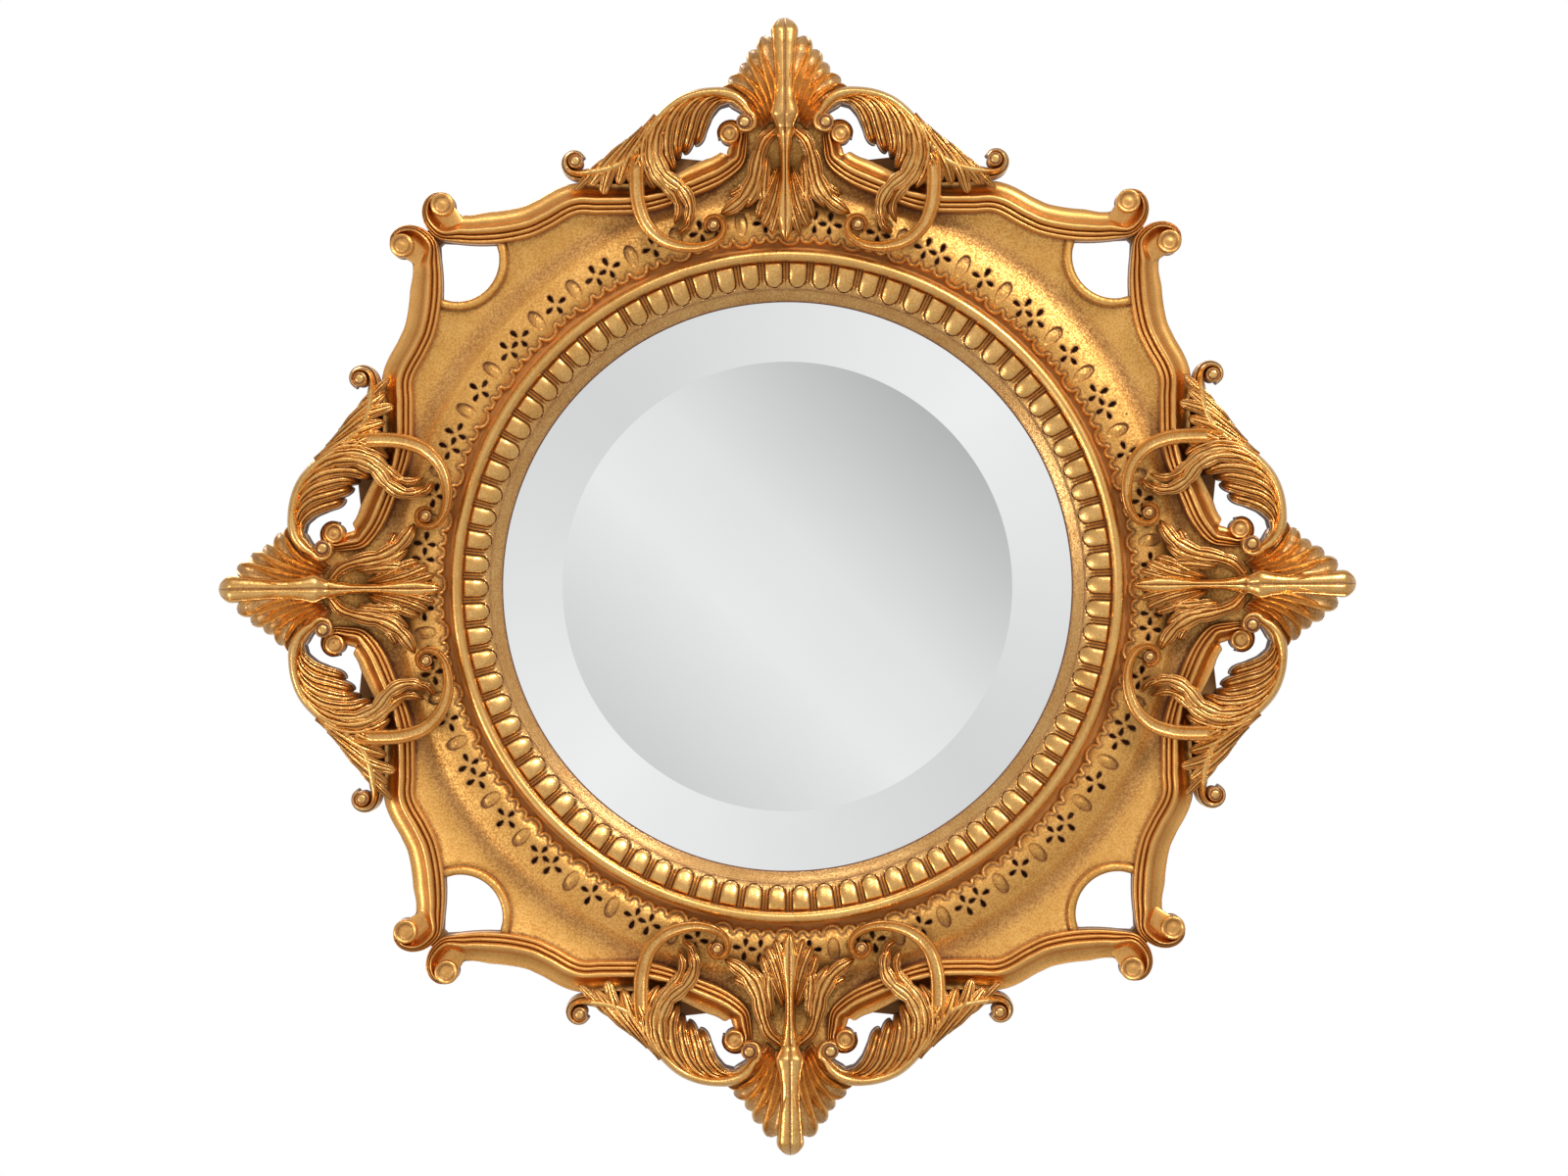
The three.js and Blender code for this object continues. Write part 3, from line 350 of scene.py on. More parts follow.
def noise(tree, vector, scale, detail, roughness=0.5):
    """Cloudy noise between 0 and 1. Detail adds finer and finer layers."""
    return node(tree, "ShaderNodeTexNoise", {"Vector": vector, "Scale": scale, "Detail": detail,
                                             "Roughness": roughness}).outputs["Fac"]


def mixed(tree, factor, first, second):
    """A colour mix: first where the factor is 0, second where it is 1."""
    return node(tree, "ShaderNodeMix", {0: factor, 6: first, 7: second},
                data_type="RGBA").outputs[2]


def ramp(tree, factor, stops):
    """A colour ramp with [position, grey value] stops."""
    made = node(tree, "ShaderNodeValToRGB", {"Fac": factor})
    elements = made.color_ramp.elements
    while len(elements) < len(stops):
        elements.new(0.5)
    for element, (position, value) in zip(elements, stops):
        element.position = position
        element.color = (value, value, value, 1)
    return made.outputs["Color"]


def new_group(name, inputs, outputs):
    """An empty node group with named sockets: (name, type, default) and (name, type)."""
    tree = bpy.data.node_groups.new(name, "ShaderNodeTree")
    for label, kind, default in inputs:
        socket = tree.interface.new_socket(label, in_out="INPUT", socket_type=kind)
        if default is not None:
            socket.default_value = default
    for label, kind in outputs:
        tree.interface.new_socket(label, in_out="OUTPUT", socket_type=kind)
    return tree, tree.nodes.new("NodeGroupInput"), tree.nodes.new("NodeGroupOutput")


FLOAT, COLOR, VECTOR = "NodeSocketFloat", "NodeSocketColor", "NodeSocketVector"
print("sockets are", FLOAT, COLOR, VECTOR)

# %% [markdown]
# One node group makes the aged leaf of every gilt piece. It takes the painted-shade value, the
# size and amount of the speckle, the wear, the leaf colours and the colour of clay and painted
# shade. It gives a colour, a roughness, how far the surface is metal, and a height.

# %% The aged leaf group
aged_leaf, leaf_in, leaf_out = new_group(
    "aged_leaf",
    [("Vector", VECTOR, None), ("Hollow Shade", FLOAT, 0.0), ("Leaf", COLOR, None),
     ("Shade", COLOR, None), ("Clay And Shade", COLOR, None), ("Speckle Scale", FLOAT, 700.0),
     ("Speckle", FLOAT, 0.3), ("Wear", FLOAT, 0.3), ("Roughness", FLOAT, 0.35)],
    [("Color", COLOR), ("Roughness", FLOAT), ("Metal", FLOAT), ("Height", FLOAT)])
given = leaf_in.outputs

speckle = noise(aged_leaf, given["Vector"], given["Speckle Scale"], 3.0, 0.6)
cloud = noise(aged_leaf, given["Vector"], 45.0, 4.0, 0.55)
broad = ramp(aged_leaf, cloud, [(0.35, 0.0), (0.7, 1.0)])
# leaf colour wanders between bright and shaded gold with the cloud and the speckle
wander = arithmetic(aged_leaf, "MULTIPLY", ramp(aged_leaf, speckle, [(0.38, 0.0), (0.62, 1.0)]),
                    given["Speckle"])
shade = arithmetic(aged_leaf, "MULTIPLY_ADD", broad, 0.35, wander)
# painted shade in the clay colour where the shade value is high, and real clay in worn specks
edge = arithmetic(aged_leaf, "MULTIPLY_ADD", speckle, 0.5, given["Hollow Shade"])
groove_shade = ramp(aged_leaf, edge, [(0.36, 0.0), (1.0, 1.0)])
worn = ramp(aged_leaf, noise(aged_leaf, given["Vector"], 130.0, 6.0, 0.7),
            [(0.6, 0.0), (0.72, 1.0)])
worn = arithmetic(aged_leaf, "MULTIPLY", worn, given["Wear"])
# clay where the leaf is worn, and painted shade where the shade value is high
clay_wear_and_shade = arithmetic(aged_leaf, "MAXIMUM", groove_shade, worn)

leaf = mixed(aged_leaf, shade, given["Leaf"], given["Shade"])
rough = arithmetic(aged_leaf, "MULTIPLY_ADD", clay_wear_and_shade, 0.3, given["Roughness"])
rough = arithmetic(aged_leaf, "MULTIPLY_ADD", wander, 0.25, rough)
metal = arithmetic(aged_leaf, "MULTIPLY_ADD", clay_wear_and_shade, -0.75, 1.0)
height = arithmetic(aged_leaf, "MULTIPLY_ADD", speckle, given["Speckle"], cloud)
for label, value in (("Color", mixed(aged_leaf, clay_wear_and_shade, leaf, given["Clay And Shade"])),
                     ("Roughness", rough), ("Metal", metal), ("Height", height)):
    aged_leaf.links.new(value, leaf_out.inputs[label])
print("leaf group has", len(aged_leaf.nodes), "nodes")

# %% [markdown]
# Each gilt finish places the group with its own colours. The carving and the eggs are warm,
# the broad field and the lace are paler and stippled, and the rails are darker. The bead's
# colour of clay and painted shade is a warm ochre, so that the painted cove beside it stays
# golden. Clay and painted shade are less metallic.

# %% Gilt finishes
def gilt_finish(name, leaf_colour, shade_colour, clay_and_shade_colour, speckle, wear, roughness, bump,
                scale=700.0):
    """Gold leaf on a red ground that shows in worn specks and as painted shade: the group's
    colour, roughness and height on a metal shader.
    """
    material = bpy.data.materials.new(name)
    material.use_nodes = True
    tree = material.node_tree
    shader = tree.nodes["Principled BSDF"]
    place_in = node(tree, "ShaderNodeTexCoord").outputs["Object"]
    # the painted shade that each corner of the piece carries
    hollow_shade = node(tree, "ShaderNodeAttribute", attribute_name="hollow_shade").outputs["Fac"]
    leaf_node = node(tree, "ShaderNodeGroup", node_tree=aged_leaf)
    for label, value in (("Leaf", leaf_colour), ("Shade", shade_colour), ("Clay And Shade", clay_and_shade_colour)):
        leaf_node.inputs[label].default_value = (*value, 1)
    for label, value in (("Speckle Scale", scale), ("Speckle", speckle), ("Wear", wear),
                         ("Roughness", roughness)):
        leaf_node.inputs[label].default_value = value
    tree.links.new(place_in, leaf_node.inputs["Vector"])
    tree.links.new(hollow_shade, leaf_node.inputs["Hollow Shade"])
    tree.links.new(leaf_node.outputs["Color"], shader.inputs["Base Color"])
    tree.links.new(leaf_node.outputs["Roughness"], shader.inputs["Roughness"])
    tree.links.new(leaf_node.outputs["Metal"], shader.inputs["Metallic"])
    relief = node(tree, "ShaderNodeBump", {"Strength": bump, "Distance": 0.0006,
                                           "Height": leaf_node.outputs["Height"]})
    tree.links.new(relief.outputs["Normal"], shader.inputs["Normal"])
    finishes[name] = material


# the third colour is the clay of worn specks and also the colour of the painted shade in grooves
gilt_finish("carved_gilt", (0.95, 0.59, 0.22), (0.60, 0.27, 0.055), (0.15, 0.04, 0.013),
            0.6, 0.36, 0.24, 0.35)
gilt_finish("field_gilt", (0.88, 0.51, 0.155), (0.60, 0.29, 0.065), (0.2, 0.066, 0.022),
            0.75, 0.2, 0.42, 0.5, scale=620.0)
gilt_finish("bead_gilt", (0.90, 0.54, 0.19), (0.60, 0.28, 0.06), (0.74, 0.32, 0.08),
            0.5, 0.2, 0.27, 0.25)
gilt_finish("rail_gilt", (0.86, 0.47, 0.15), (0.58, 0.26, 0.06), (0.14, 0.036, 0.013),
            0.5, 0.35, 0.32, 0.3)
print("gilt finishes:", ", ".join(finishes))

# %% [markdown]
# ## Plain finishes
# The glass is silvered, so it is a smooth metal to the shader. The back frame is stained
# pine, with long rings of grain, and the disc that closes the back is brown hardboard with
# short fibres. Steel and brass are brushed, and the pads are felt.

# %% Glass, wood, board, metal and felt
def plain_finish(name, low, high, metallic, roughness, scale, stretch=(1, 1, 1), detail=4.0,
                 spread=0.1, bump=0.1, distance=0.0004, sheen=0.0):
    """A noise stretched along the grain moves the colour between low and high, the
    roughness by spread, and the height."""
    material = bpy.data.materials.new(name)
    material.use_nodes = True
    tree = material.node_tree
    shader = tree.nodes["Principled BSDF"]
    shader.inputs["Metallic"].default_value = metallic
    shader.inputs["Sheen Weight"].default_value = sheen
    along = node(tree, "ShaderNodeMapping",
                 {"Vector": node(tree, "ShaderNodeTexCoord").outputs["Object"],
                  "Scale": stretch}).outputs["Vector"]
    grain = noise(tree, along, scale, detail)
    colour = mixed(tree, ramp(tree, grain, [(0.3, 0.0), (0.7, 1.0)]), (*low, 1), (*high, 1))
    rough = arithmetic(tree, "MULTIPLY_ADD", grain, spread, roughness)
    relief = node(tree, "ShaderNodeBump", {"Strength": bump, "Distance": distance,
                                           "Height": grain}).outputs["Normal"]
    tree.links.new(colour, shader.inputs["Base Color"])
    tree.links.new(rough, shader.inputs["Roughness"])
    tree.links.new(relief, shader.inputs["Normal"])
    finishes[name] = material


plain_finish("silvered_glass", (0.95, 0.96, 0.96), (0.97, 0.975, 0.975), 1.0, 0.012, 12.0,
             spread=0.01, bump=0.0)
plain_finish("stained_pine", (0.035, 0.018, 0.009), (0.12, 0.065, 0.032), 0.0, 0.55, 60.0,
             stretch=(0.12, 1.5, 1.5), detail=8.0, bump=0.35)
plain_finish("hardboard", (0.12, 0.066, 0.034), (0.24, 0.15, 0.085), 0.0, 0.75, 240.0,
             stretch=(1, 1, 0.4), detail=6.0, bump=0.25)
plain_finish("packing_pine", (0.45, 0.32, 0.18), (0.62, 0.47, 0.29), 0.0, 0.7, 90.0,
             stretch=(1, 0.2, 1), detail=6.0, bump=0.2)
plain_finish("plated_steel", (0.42, 0.42, 0.41), (0.62, 0.62, 0.61), 1.0, 0.28, 400.0,
             stretch=(1, 1, 0.06), spread=0.2, bump=0.06, distance=0.0001)
plain_finish("pressed_brass", (0.55, 0.36, 0.13), (0.78, 0.58, 0.27), 1.0, 0.26, 350.0,
             stretch=(0.06, 1, 1), spread=0.2, bump=0.06, distance=0.0001)
plain_finish("felt", (0.018, 0.014, 0.012), (0.06, 0.05, 0.045), 0.0, 0.9, 1500.0,
             detail=3.0, bump=0.8, sheen=0.4)
print("finishes:", ", ".join(finishes))

# %% [markdown]
# ## The glass
# Such a plate is cut round, bevelled on its edge and bent over a shallow mould. The front is
# a low dome up to the bevel's ridge, and a straight cone from there to the edge. It is spun
# from its profile, with rows close together at the ridge so that the ridge stays crisp.

# %% The convex plate
BEVEL_RISE, DOME_RISE = 12, 12.6
GLASS_THICK, EDGE_THICK = 5, 4

radii = np.concatenate([np.linspace(0, DOME_R - 0.5, 40), [DOME_R - 0.15, DOME_R]])
dome = np.stack([radii, BOARD + BEVEL_RISE + DOME_RISE * (1 - (radii / DOME_R) ** 2)], 1)
radii_out = np.concatenate([[DOME_R + 0.15, DOME_R + 0.5], np.linspace(DOME_R + 3, GLASS_R, 14)])
bevel = np.stack([radii_out,
                  BOARD + BEVEL_RISE * (GLASS_R - radii_out) / (GLASS_R - DOME_R)], 1)
glass_back = np.stack([radii[::-3], (dome[:, 1] - GLASS_THICK)[::-3]], 1)
glass_profile = np.concatenate([dome, bevel, [[GLASS_R, BOARD - EDGE_THICK]], glass_back])
glass_profile[-1] = [0, BOARD + BEVEL_RISE + DOME_RISE - GLASS_THICK]
glass = make_piece("convex_plate", turn(glass_profile, 384), "silvered_glass",
                   replaces=["mirror_plate"])
print("plate:", len(glass.data.polygons), "triangles")

# %% [markdown]
# ## The egg moulding
# Next to the glass is a plain slope, then a row of 82 eggs. Each egg is a domed cushion
# inside a thin raised rim, shaped like a U that opens away from the glass. The height is a
# function of the distance to the egg's middle line.

# %% The height of an egg
EGGS = 82
EGG_PITCH, EGG_HALF, EGG_FOOT = 19.1, 8.3, 20.6
CUSHION_R, CUSHION_RISE = 6.9, 3.6
RIM_R, RIM_RISE, GROUND_RISE = 7.9, 2.9, 1.6


def egg_height(across, along_egg):
    """Height over the slope and painted shade. across is the distance from the egg's middle
    line and along_egg the distance from its nose. With d the distance to the middle line, the
    cushion is a flat-topped dome: its rise x the fourth root of 1 - (d / its radius) to the
    power 4, lower towards its sides and cut off at its foot. A thin rim stands round it and the
    ground lies outside the rim. Lines of painted shade lie on both sides of the rim, the outer
    one in a groove between eggs, and the low ground gets painted shade too."""
    toward_nose = np.minimum(along_egg - EGG_HALF, 0)
    to_middle = np.hypot(across, toward_nose)
    cushion = CUSHION_RISE * np.clip(1 - (to_middle / CUSHION_R) ** 4, 0, 1) ** 0.25 * (
        1 - 0.28 * (np.clip(across / 7, -1, 1)) ** 2)
    cushion *= np.clip((EGG_FOOT - along_egg) / 0.9, 0.1, 1) ** 0.5
    rim = RIM_RISE * np.exp(-((to_middle - RIM_R) / 0.62) ** 2)
    ground = GROUND_RISE * np.clip((to_middle - 8.0) / 0.5, 0, 1)
    height = np.maximum(np.maximum(cushion, rim), ground)
    # painted shade: a line inside the rim, a line in the groove outside it, and the low ground
    rim_shade_line = np.exp(-((to_middle - 7.05) / 0.34) ** 2)
    line_out = np.exp(-((np.abs(across) - 9.5) / 0.3) ** 2) * np.clip((along_egg - 3) / 3, 0, 1)
    hollow_shade = np.clip(0.95 * rim_shade_line + 0.7 * line_out + 0.28 * (height < 2.0), 0, 1)
    return height - 0.9 * line_out, hollow_shade


print("an egg is %.1f high in its middle" % egg_height(np.array([0.0]), np.array([10.0]))[0][0])

# %% [markdown]
# The whole ring is one polar grid. Its columns are not even: they lie close together at the
# dark line between an egg and its rim, where the height changes quickly. The slope beside
# the glass and the underside are more rows of the same grid.

# %% The egg ring
STEPS = np.array([0.9, 2.6, 4.1, 5.3, 6.1, 6.7, 7.1, 7.5, 8.0, 8.6, 9.2])
STEPS = np.concatenate([[-9.55], -STEPS[::-1], STEPS])
EGG_EDGE, EGG_RIM_HEIGHT = EGG_OUT + 1.0, 44.5

middles = (np.arange(EGGS)[:, None] + 0.5) * EGG_PITCH
turns = (middles + STEPS).ravel() / (EGGS * EGG_PITCH) * 2 * math.pi
slope = [[SIGHT, 26.1], [SIGHT, 27.0], [SIGHT + 0.6, 28.2], [231.5, 29.6], [234.5, 33.0],
         [236.8, 36.2], [238.0, 37.3]]
# painted shade on the slope, darkest where it meets the glass
slope_shade = [0.95, 0.75, 0.45, 0.33, 0.3, 0.3, 0.5]
rows = np.linspace(EGG_IN, EGG_OUT + 0.4, 31)
swell = 37.4 + 6.6 * np.sin(np.clip((rows - EGG_IN) / 17, 0, 1) * math.pi / 2)
rise, painted_shade = egg_height(np.tile(STEPS, EGGS)[None, :], (rows - EGG_IN)[:, None])
fade = np.clip((rows - EGG_IN) / 1.0, 0, 1)[:, None]


def grid_row(radius, heights):
    """One row of the polar grid: [radius, height] at every turn."""
    return np.stack([np.full(len(turns), radius), np.broadcast_to(heights, len(turns))], 1)


rings = [grid_row(radius, height) for radius, height in slope]
rings += [grid_row(*row) for row in zip(rows, swell[:, None] + fade * rise)]
rings += [grid_row(EGG_EDGE, EGG_RIM_HEIGHT), grid_row(EGG_EDGE, BASE), grid_row(GLASS_R, BASE)]
rings = np.stack(rings)
egg_corners = np.stack([rings[..., 0] * np.sin(turns), rings[..., 0] * np.cos(turns),
                        rings[..., 1]], -1).reshape(-1, 3)
egg_faces = closed_round(len(rings), len(turns))
# the painted shade of the slope, the eggs and the underside
egg_shade = np.concatenate([np.repeat(slope_shade, len(turns)),
                             (painted_shade * fade + 0.5 * (1 - fade)).ravel(),
                             np.full(3 * len(turns), 0.6)])
eggs = make_piece("egg_moulding", (egg_corners, outward(egg_corners, egg_faces), egg_shade),
                  "carved_gilt", replaces=["egg_ring"], sharp=55)
print("eggs:", len(eggs.data.polygons), "triangles")

# %% [markdown]
# ## The bead and the hollow outside it
# A turner makes this moulding in one piece: a bold half-round, and outside it a deep hollow
# that runs under the lace. It is spun from its profile. Painted shade darkens the cove and
# the foot of the bead.

# %% The bead ring
bow = np.linspace(0, math.pi, 26)
bead_mid, bead_half = (BEAD_IN + BEAD_OUT) / 2, (BEAD_OUT - BEAD_IN) / 2
bead_profile = np.concatenate([
    [[BEAD_IN, BASE], [BEAD_IN, 45.0]],
    np.stack([bead_mid - bead_half * np.cos(bow), 48 + 5.7 * np.sin(bow)], 1),
    [[BEAD_OUT - 0.2, 46.5], [BEAD_OUT + 0.5, 42.6], [BEAD_OUT + 1.8, 39.4], [LACE_IN, 37.2],
     [LACE_IN + 3, 36.9], [LACE_IN + 7, 37.1], [LACE_IN + 12, 36.5], [LACE_IN + 12, BASE]]])
# painted shade at the bead's foot and in the cove beside it
bead_shade = np.concatenate([[1, 0.8], np.clip(0.35 - np.sin(bow), 0, 1),
                              [0.6, 0.9, 1.0, 1.0, 1.0, 0.9, 0.8, 1]])
bead = make_piece("bead_moulding", turn(bead_profile, 480, bead_shade), "bead_gilt",
                  replaces=["bead_ring"], sharp=60)
print("bead:", len(bead.data.polygons), "triangles")

# %% [markdown]
# ## Sheets cut along drawn outlines
# The lace and the field are broad faces with outlines and holes of any shape. A constrained
# Delaunay triangulation takes the outlines as fixed edges, and a net of points between them.
# Only the triangles whose middles lie on the material are kept. Two measures decide where a
# point lies: whether it is inside an outline, and how far from the outline it is.

# %% Inside and distance
def inside(points, outline):
    """A point is inside where a ray from it crosses the outline an odd number of times."""
    a, b = outline, np.roll(outline, -1, axis=0)
    y = points[:, 1:2]
    crosses = (a[:, 1] > y) != (b[:, 1] > y)
    step = np.where(b[:, 1] == a[:, 1], 1e-12, b[:, 1] - a[:, 1])
    at = a[:, 0] + (y - a[:, 1]) * (b[:, 0] - a[:, 0]) / step
    return (crosses & (points[:, 0:1] < at)).sum(1) % 2 == 1


def to_outline(points, outline, closed=True):
    """The distance from each point to the nearest straight piece of an outline."""
    a = outline if closed else outline[:-1]
    b = np.roll(outline, -1, axis=0) if closed else outline[1:]
    along = b - a
    t = np.einsum("ijk,jk->ij", points[:, None] - a, along) / np.maximum((along ** 2).sum(1), 1e-9)
    nearest = a + np.clip(t, 0, 1)[..., None] * along
    return np.linalg.norm(points[:, None] - nearest, axis=2).min(1)


SQUARE = np.array([[0, 0], [2, 0], [2, 2], [0, 2.0]])
print("the middle of a square lies inside:", inside(np.array([[1.0, 1.0]]), SQUARE)[0],
      "at", to_outline(np.array([[1.0, 1.0]]), SQUARE)[0])

# %% [markdown]
# A sheet starts flat. It gets its heights from a formula, then walls along its outlines and
# an underside. Repeats of a sheet are welded where they meet.

# %% Sheets
def sheet_triangles(outlines, net, keep):
    """Triangles through all outlines and net points whose middles satisfy keep."""
    points = [tuple(p) for outline in outlines for p in outline] + [tuple(p) for p in net]
    edges, start = [], 0
    for outline in outlines:
        n = len(outline)
        edges += [(start + i, start + (i + 1) % n) for i in range(n)]
        start += n
    found = delaunay_2d_cdt([Vector(p) for p in points], edges, [], 0, 1e-5)
    flat = np.array([(v.x, v.y) for v in found[0]])
    triangles = np.array([f for f in found[2] if len(f) == 3])
    triangles = triangles[keep(flat[triangles].mean(1))]
    a, b, c = (flat[triangles[:, k]] for k in range(3))
    (along, up), (along_too, up_too) = (b - a).T, (c - a).T
    left = along * up_too - up * along_too > 0
    triangles = np.where(left[:, None], triangles, triangles[:, ::-1])
    used, again = np.unique(triangles, return_inverse=True)
    return flat[used], again.reshape(-1, 3)


def thick_sheet(flat, triangles, top, under, hollow_shade, wall_shade):
    """A sheet with a top and an underside. An edge that only one triangle has is a rim, and
    gets a wall down to the underside. The walls all get one value of painted shade."""
    pairs = np.concatenate([triangles[:, [0, 1]], triangles[:, [1, 2]], triangles[:, [2, 0]]])
    key = np.sort(pairs, 1)
    first, count = np.unique(key[:, 0] * len(flat) + key[:, 1], return_index=True,
                             return_counts=True)[1:]
    rim = pairs[first[count == 1]]
    n = len(flat)
    corners = np.concatenate([np.column_stack([flat, top]), np.column_stack([flat, under])])
    walls = np.concatenate([np.stack([rim[:, 0], rim[:, 0] + n, rim[:, 1] + n], 1),
                            np.stack([rim[:, 0], rim[:, 1] + n, rim[:, 1]], 1)])
    faces = np.concatenate([triangles, triangles[:, ::-1] + n, walls])
    return corners, faces, np.concatenate([hollow_shade, np.full(n, wall_shade)])


def net_points(low, high, step):
    """A net of points on a triangular grid between two corners."""
    xs = np.arange(low[0], high[0], step)
    ys = np.arange(low[1], high[1], step * 0.866)
    grid = np.stack(np.meshgrid(xs, ys), -1)
    grid[1::2, :, 0] += step / 2
    return grid.reshape(-1, 2)


WELD = 0.02


def welded(*shells):
    """Joins shells that meet. Corners whose places agree, rounded to WELD mm, become one. The
    walls that stood between two shells go, because their triangles then come twice."""
    corners, faces, hollow_shade = gather(*shells)
    first, same = np.unique(np.round(corners / WELD).astype(np.int64), axis=0,
                            return_index=True, return_inverse=True)[1:]
    faces = same.reshape(-1)[faces]
    kept, count = np.unique(np.sort(faces, 1), axis=0, return_index=True,
                            return_counts=True)[1:]
    return corners[first], faces[kept[count == 1]], hollow_shade[first]


print("a net over a square of 10 mm has", len(net_points([0, 0], [10, 10], 1)), "points")

# %% [markdown]
# The lace and the field follow one smooth curve from the cove to the field's edge. It goes
# through a few knots, each with a height and a slope, so that nothing shows at their seam.

# %% The height of the broad faces
FACE = np.array([[LACE_IN, 16, 0.75], [LACE_IN + 15.2, 23, 0], [LACE_OUT, 19, -0.38],
                 [LACE_OUT + 11.5, 14, 0], [FIELD_OUT, 23.7, 0.28]])


def face_height(radius):
    """The lace swells over its middle, and the field dips into a trough and then rises. FACE
    holds a radius, a height and a slope for each knot of a cubic Hermite curve."""
    k = np.clip(np.searchsorted(FACE[:, 0], radius) - 1, 0, len(FACE) - 2)
    span = FACE[k + 1, 0] - FACE[k, 0]
    t = np.clip((radius - FACE[k, 0]) / span, 0, 1)
    rise = FACE[k + 1, 1] - FACE[k, 1]
    bend = t * (1 - t) * span * (FACE[k, 2] * (1 - t) - FACE[k + 1, 2] * t)
    return BOARD + FACE[k, 1] + rise * t * t * (3 - 2 * t) + bend


print("the lace swells to %.1f mm" % face_height(np.array([LACE_IN + 15.2]))[0])

# %% [markdown]
# ## The pierced lace
# The ring of lace is what the carver shows off: its inner edge is cut in scallops, and it is
# pierced with flowers of four petals. Twenty repeats each hold an oval, a flower, an oval and
# a pair of flowers that share a petal. One repeat is worked out and turned round the ring.

# %% Outlines of one repeat
LACE_UNITS, LACE_TURN = 20, 11
OVALS, FLOWERS, PAIRS = [0.0, 7.6], [3.8, 11.6, 14.0], [(11.6, 14.0)]
CUSPS = [-1.75, 1.75, 3.8, 5.85, 9.35, 11.65, 13.95, 16.25]
LOBE, SMALL_LOBE = 6.3, 4.3
CUSP_R, LACE_EDGE = LACE_IN + 6.3, LACE_OUT - 0.3
FLOWER_R = LACE_IN + 18.9
SHARED, ASIDE = 1.2, 1.27        # degrees from a flower's middle to its petals on either side
OVAL_OUT, OVAL_WIDE, OVAL_TALL = 0.8, 5.3, 9.6


def polar(angle, radius):
    """Points at angles (degrees, clockwise from the top) and radii."""
    angle, radius = np.broadcast_arrays(np.asarray(angle, float) * DEG, np.asarray(radius, float))
    return np.stack([radius * np.sin(angle), radius * np.cos(angle)], -1)


def petal(angle, radius, lean, length, width, count=14):
    """A teardrop hole: wide and round outwards, pointed towards the flower's middle."""
    t = np.arange(count) / count * 2 * math.pi
    along_petal = length / 2 * np.cos(t)
    over = width / 2 * np.sin(t) * (0.82 + 0.3 * np.cos(t)) * np.sqrt(np.abs(np.sin(t))) ** 0.3
    middle = polar(angle, radius)
    facing = angle * DEG + lean
    return np.stack([middle[0] + along_petal * math.sin(facing) + over * math.cos(facing),
                     middle[1] + along_petal * math.cos(facing) - over * math.sin(facing)], 1)


petals = []
for flower in FLOWERS:
    petals.append(petal(flower, FLOWER_R + 6.4, 0, 7.2, 4.4))
    petals.append(petal(flower, FLOWER_R - 4.9, math.pi, 6.2, 4.0))
    for side in (-1, 1):
        # the pair's shared petal is cut once, midway
        shared = any(flower in pair and pair[0] <= flower + side * SHARED <= pair[1]
                     for pair in PAIRS)
        if shared and side < 0:
            continue
        petals.append(petal(flower + side * (SHARED if shared else ASIDE), FLOWER_R,
                            side * math.pi / 2, 6.4, 4.2))

scallop = []
for start, end in zip(CUSPS[:-1], CUSPS[1:]):
    big = any(start < oval < end for oval in OVALS)
    part = np.linspace(0, 1, 19 if big else 11)[:-1]
    bulge = np.sqrt(np.clip(1 - (2 * part - 1) ** 2, 0, 1))
    scallop.append(polar(start + (end - start) * part,
                         CUSP_R - (LOBE if big else SMALL_LOBE) * bulge))
scallop = np.concatenate(scallop + [polar([CUSPS[-1]], CUSP_R)])
side_radii = np.linspace(CUSP_R, LACE_EDGE, 24)[1:-1]
outer = polar(np.linspace(CUSPS[-1], CUSPS[0], 19), LACE_EDGE)
unit = np.concatenate([scallop, polar(CUSPS[-1], side_radii), outer,
                       polar(CUSPS[0], side_radii[::-1])])
print("a repeat has", len(petals), "petals and", len(unit), "corners round it")

# %% [markdown]
# The net of points follows the rims of the ovals too, so that their relief has clean edges.
# A net point that lies in a petal, or very near an outline, is left out.

# %% The flat repeat
def oval_outline(angle, scale, count=36):
    """An ellipse that stands along the radius, pushed a little outwards."""
    t = np.arange(count) / count * 2 * math.pi
    return polar(angle + np.sin(t) * OVAL_WIDE * scale / (FLOWER_R * DEG),
                 FLOWER_R + OVAL_OUT + OVAL_TALL * scale * np.cos(t))


def in_petal(points):
    """In any of the petals."""
    return np.any([inside(points, hole) for hole in petals], axis=0)


def on_lace(points):
    """On the unit and in none of the petals."""
    return inside(points, unit) & ~in_petal(points)


outlines = [unit] + petals
outlines += [oval_outline(angle, scale) for angle in OVALS for scale in (1.0, 0.86)]
net = net_points(unit.min(0), unit.max(0), 1.25)
net = net[inside(net, unit)]
near = np.linalg.norm(net[:, None] - np.concatenate(outlines), axis=2).min(1)
net = net[(near > 0.75) & ~in_petal(net)]
flat, lace_faces = sheet_triangles(outlines, net, on_lace)
print("the flat repeat has", len(lace_faces), "triangles")

# %% [markdown]
# Each oval is a dish whose floor rises outwards, with a line of painted shadow inside its
# rim that is darkest on its outer side. The scallops have a raised lip with a shallow groove
# behind it, and the petals have soft edges. Shade is painted into that groove, round the
# petals, onto the walls and the deeper floors of the dishes, and the whole lace is toned a
# little darker.
# The repeats are turned round the ring and welded where they meet.

# %% The lace ring
LACE_THICK = 2.6

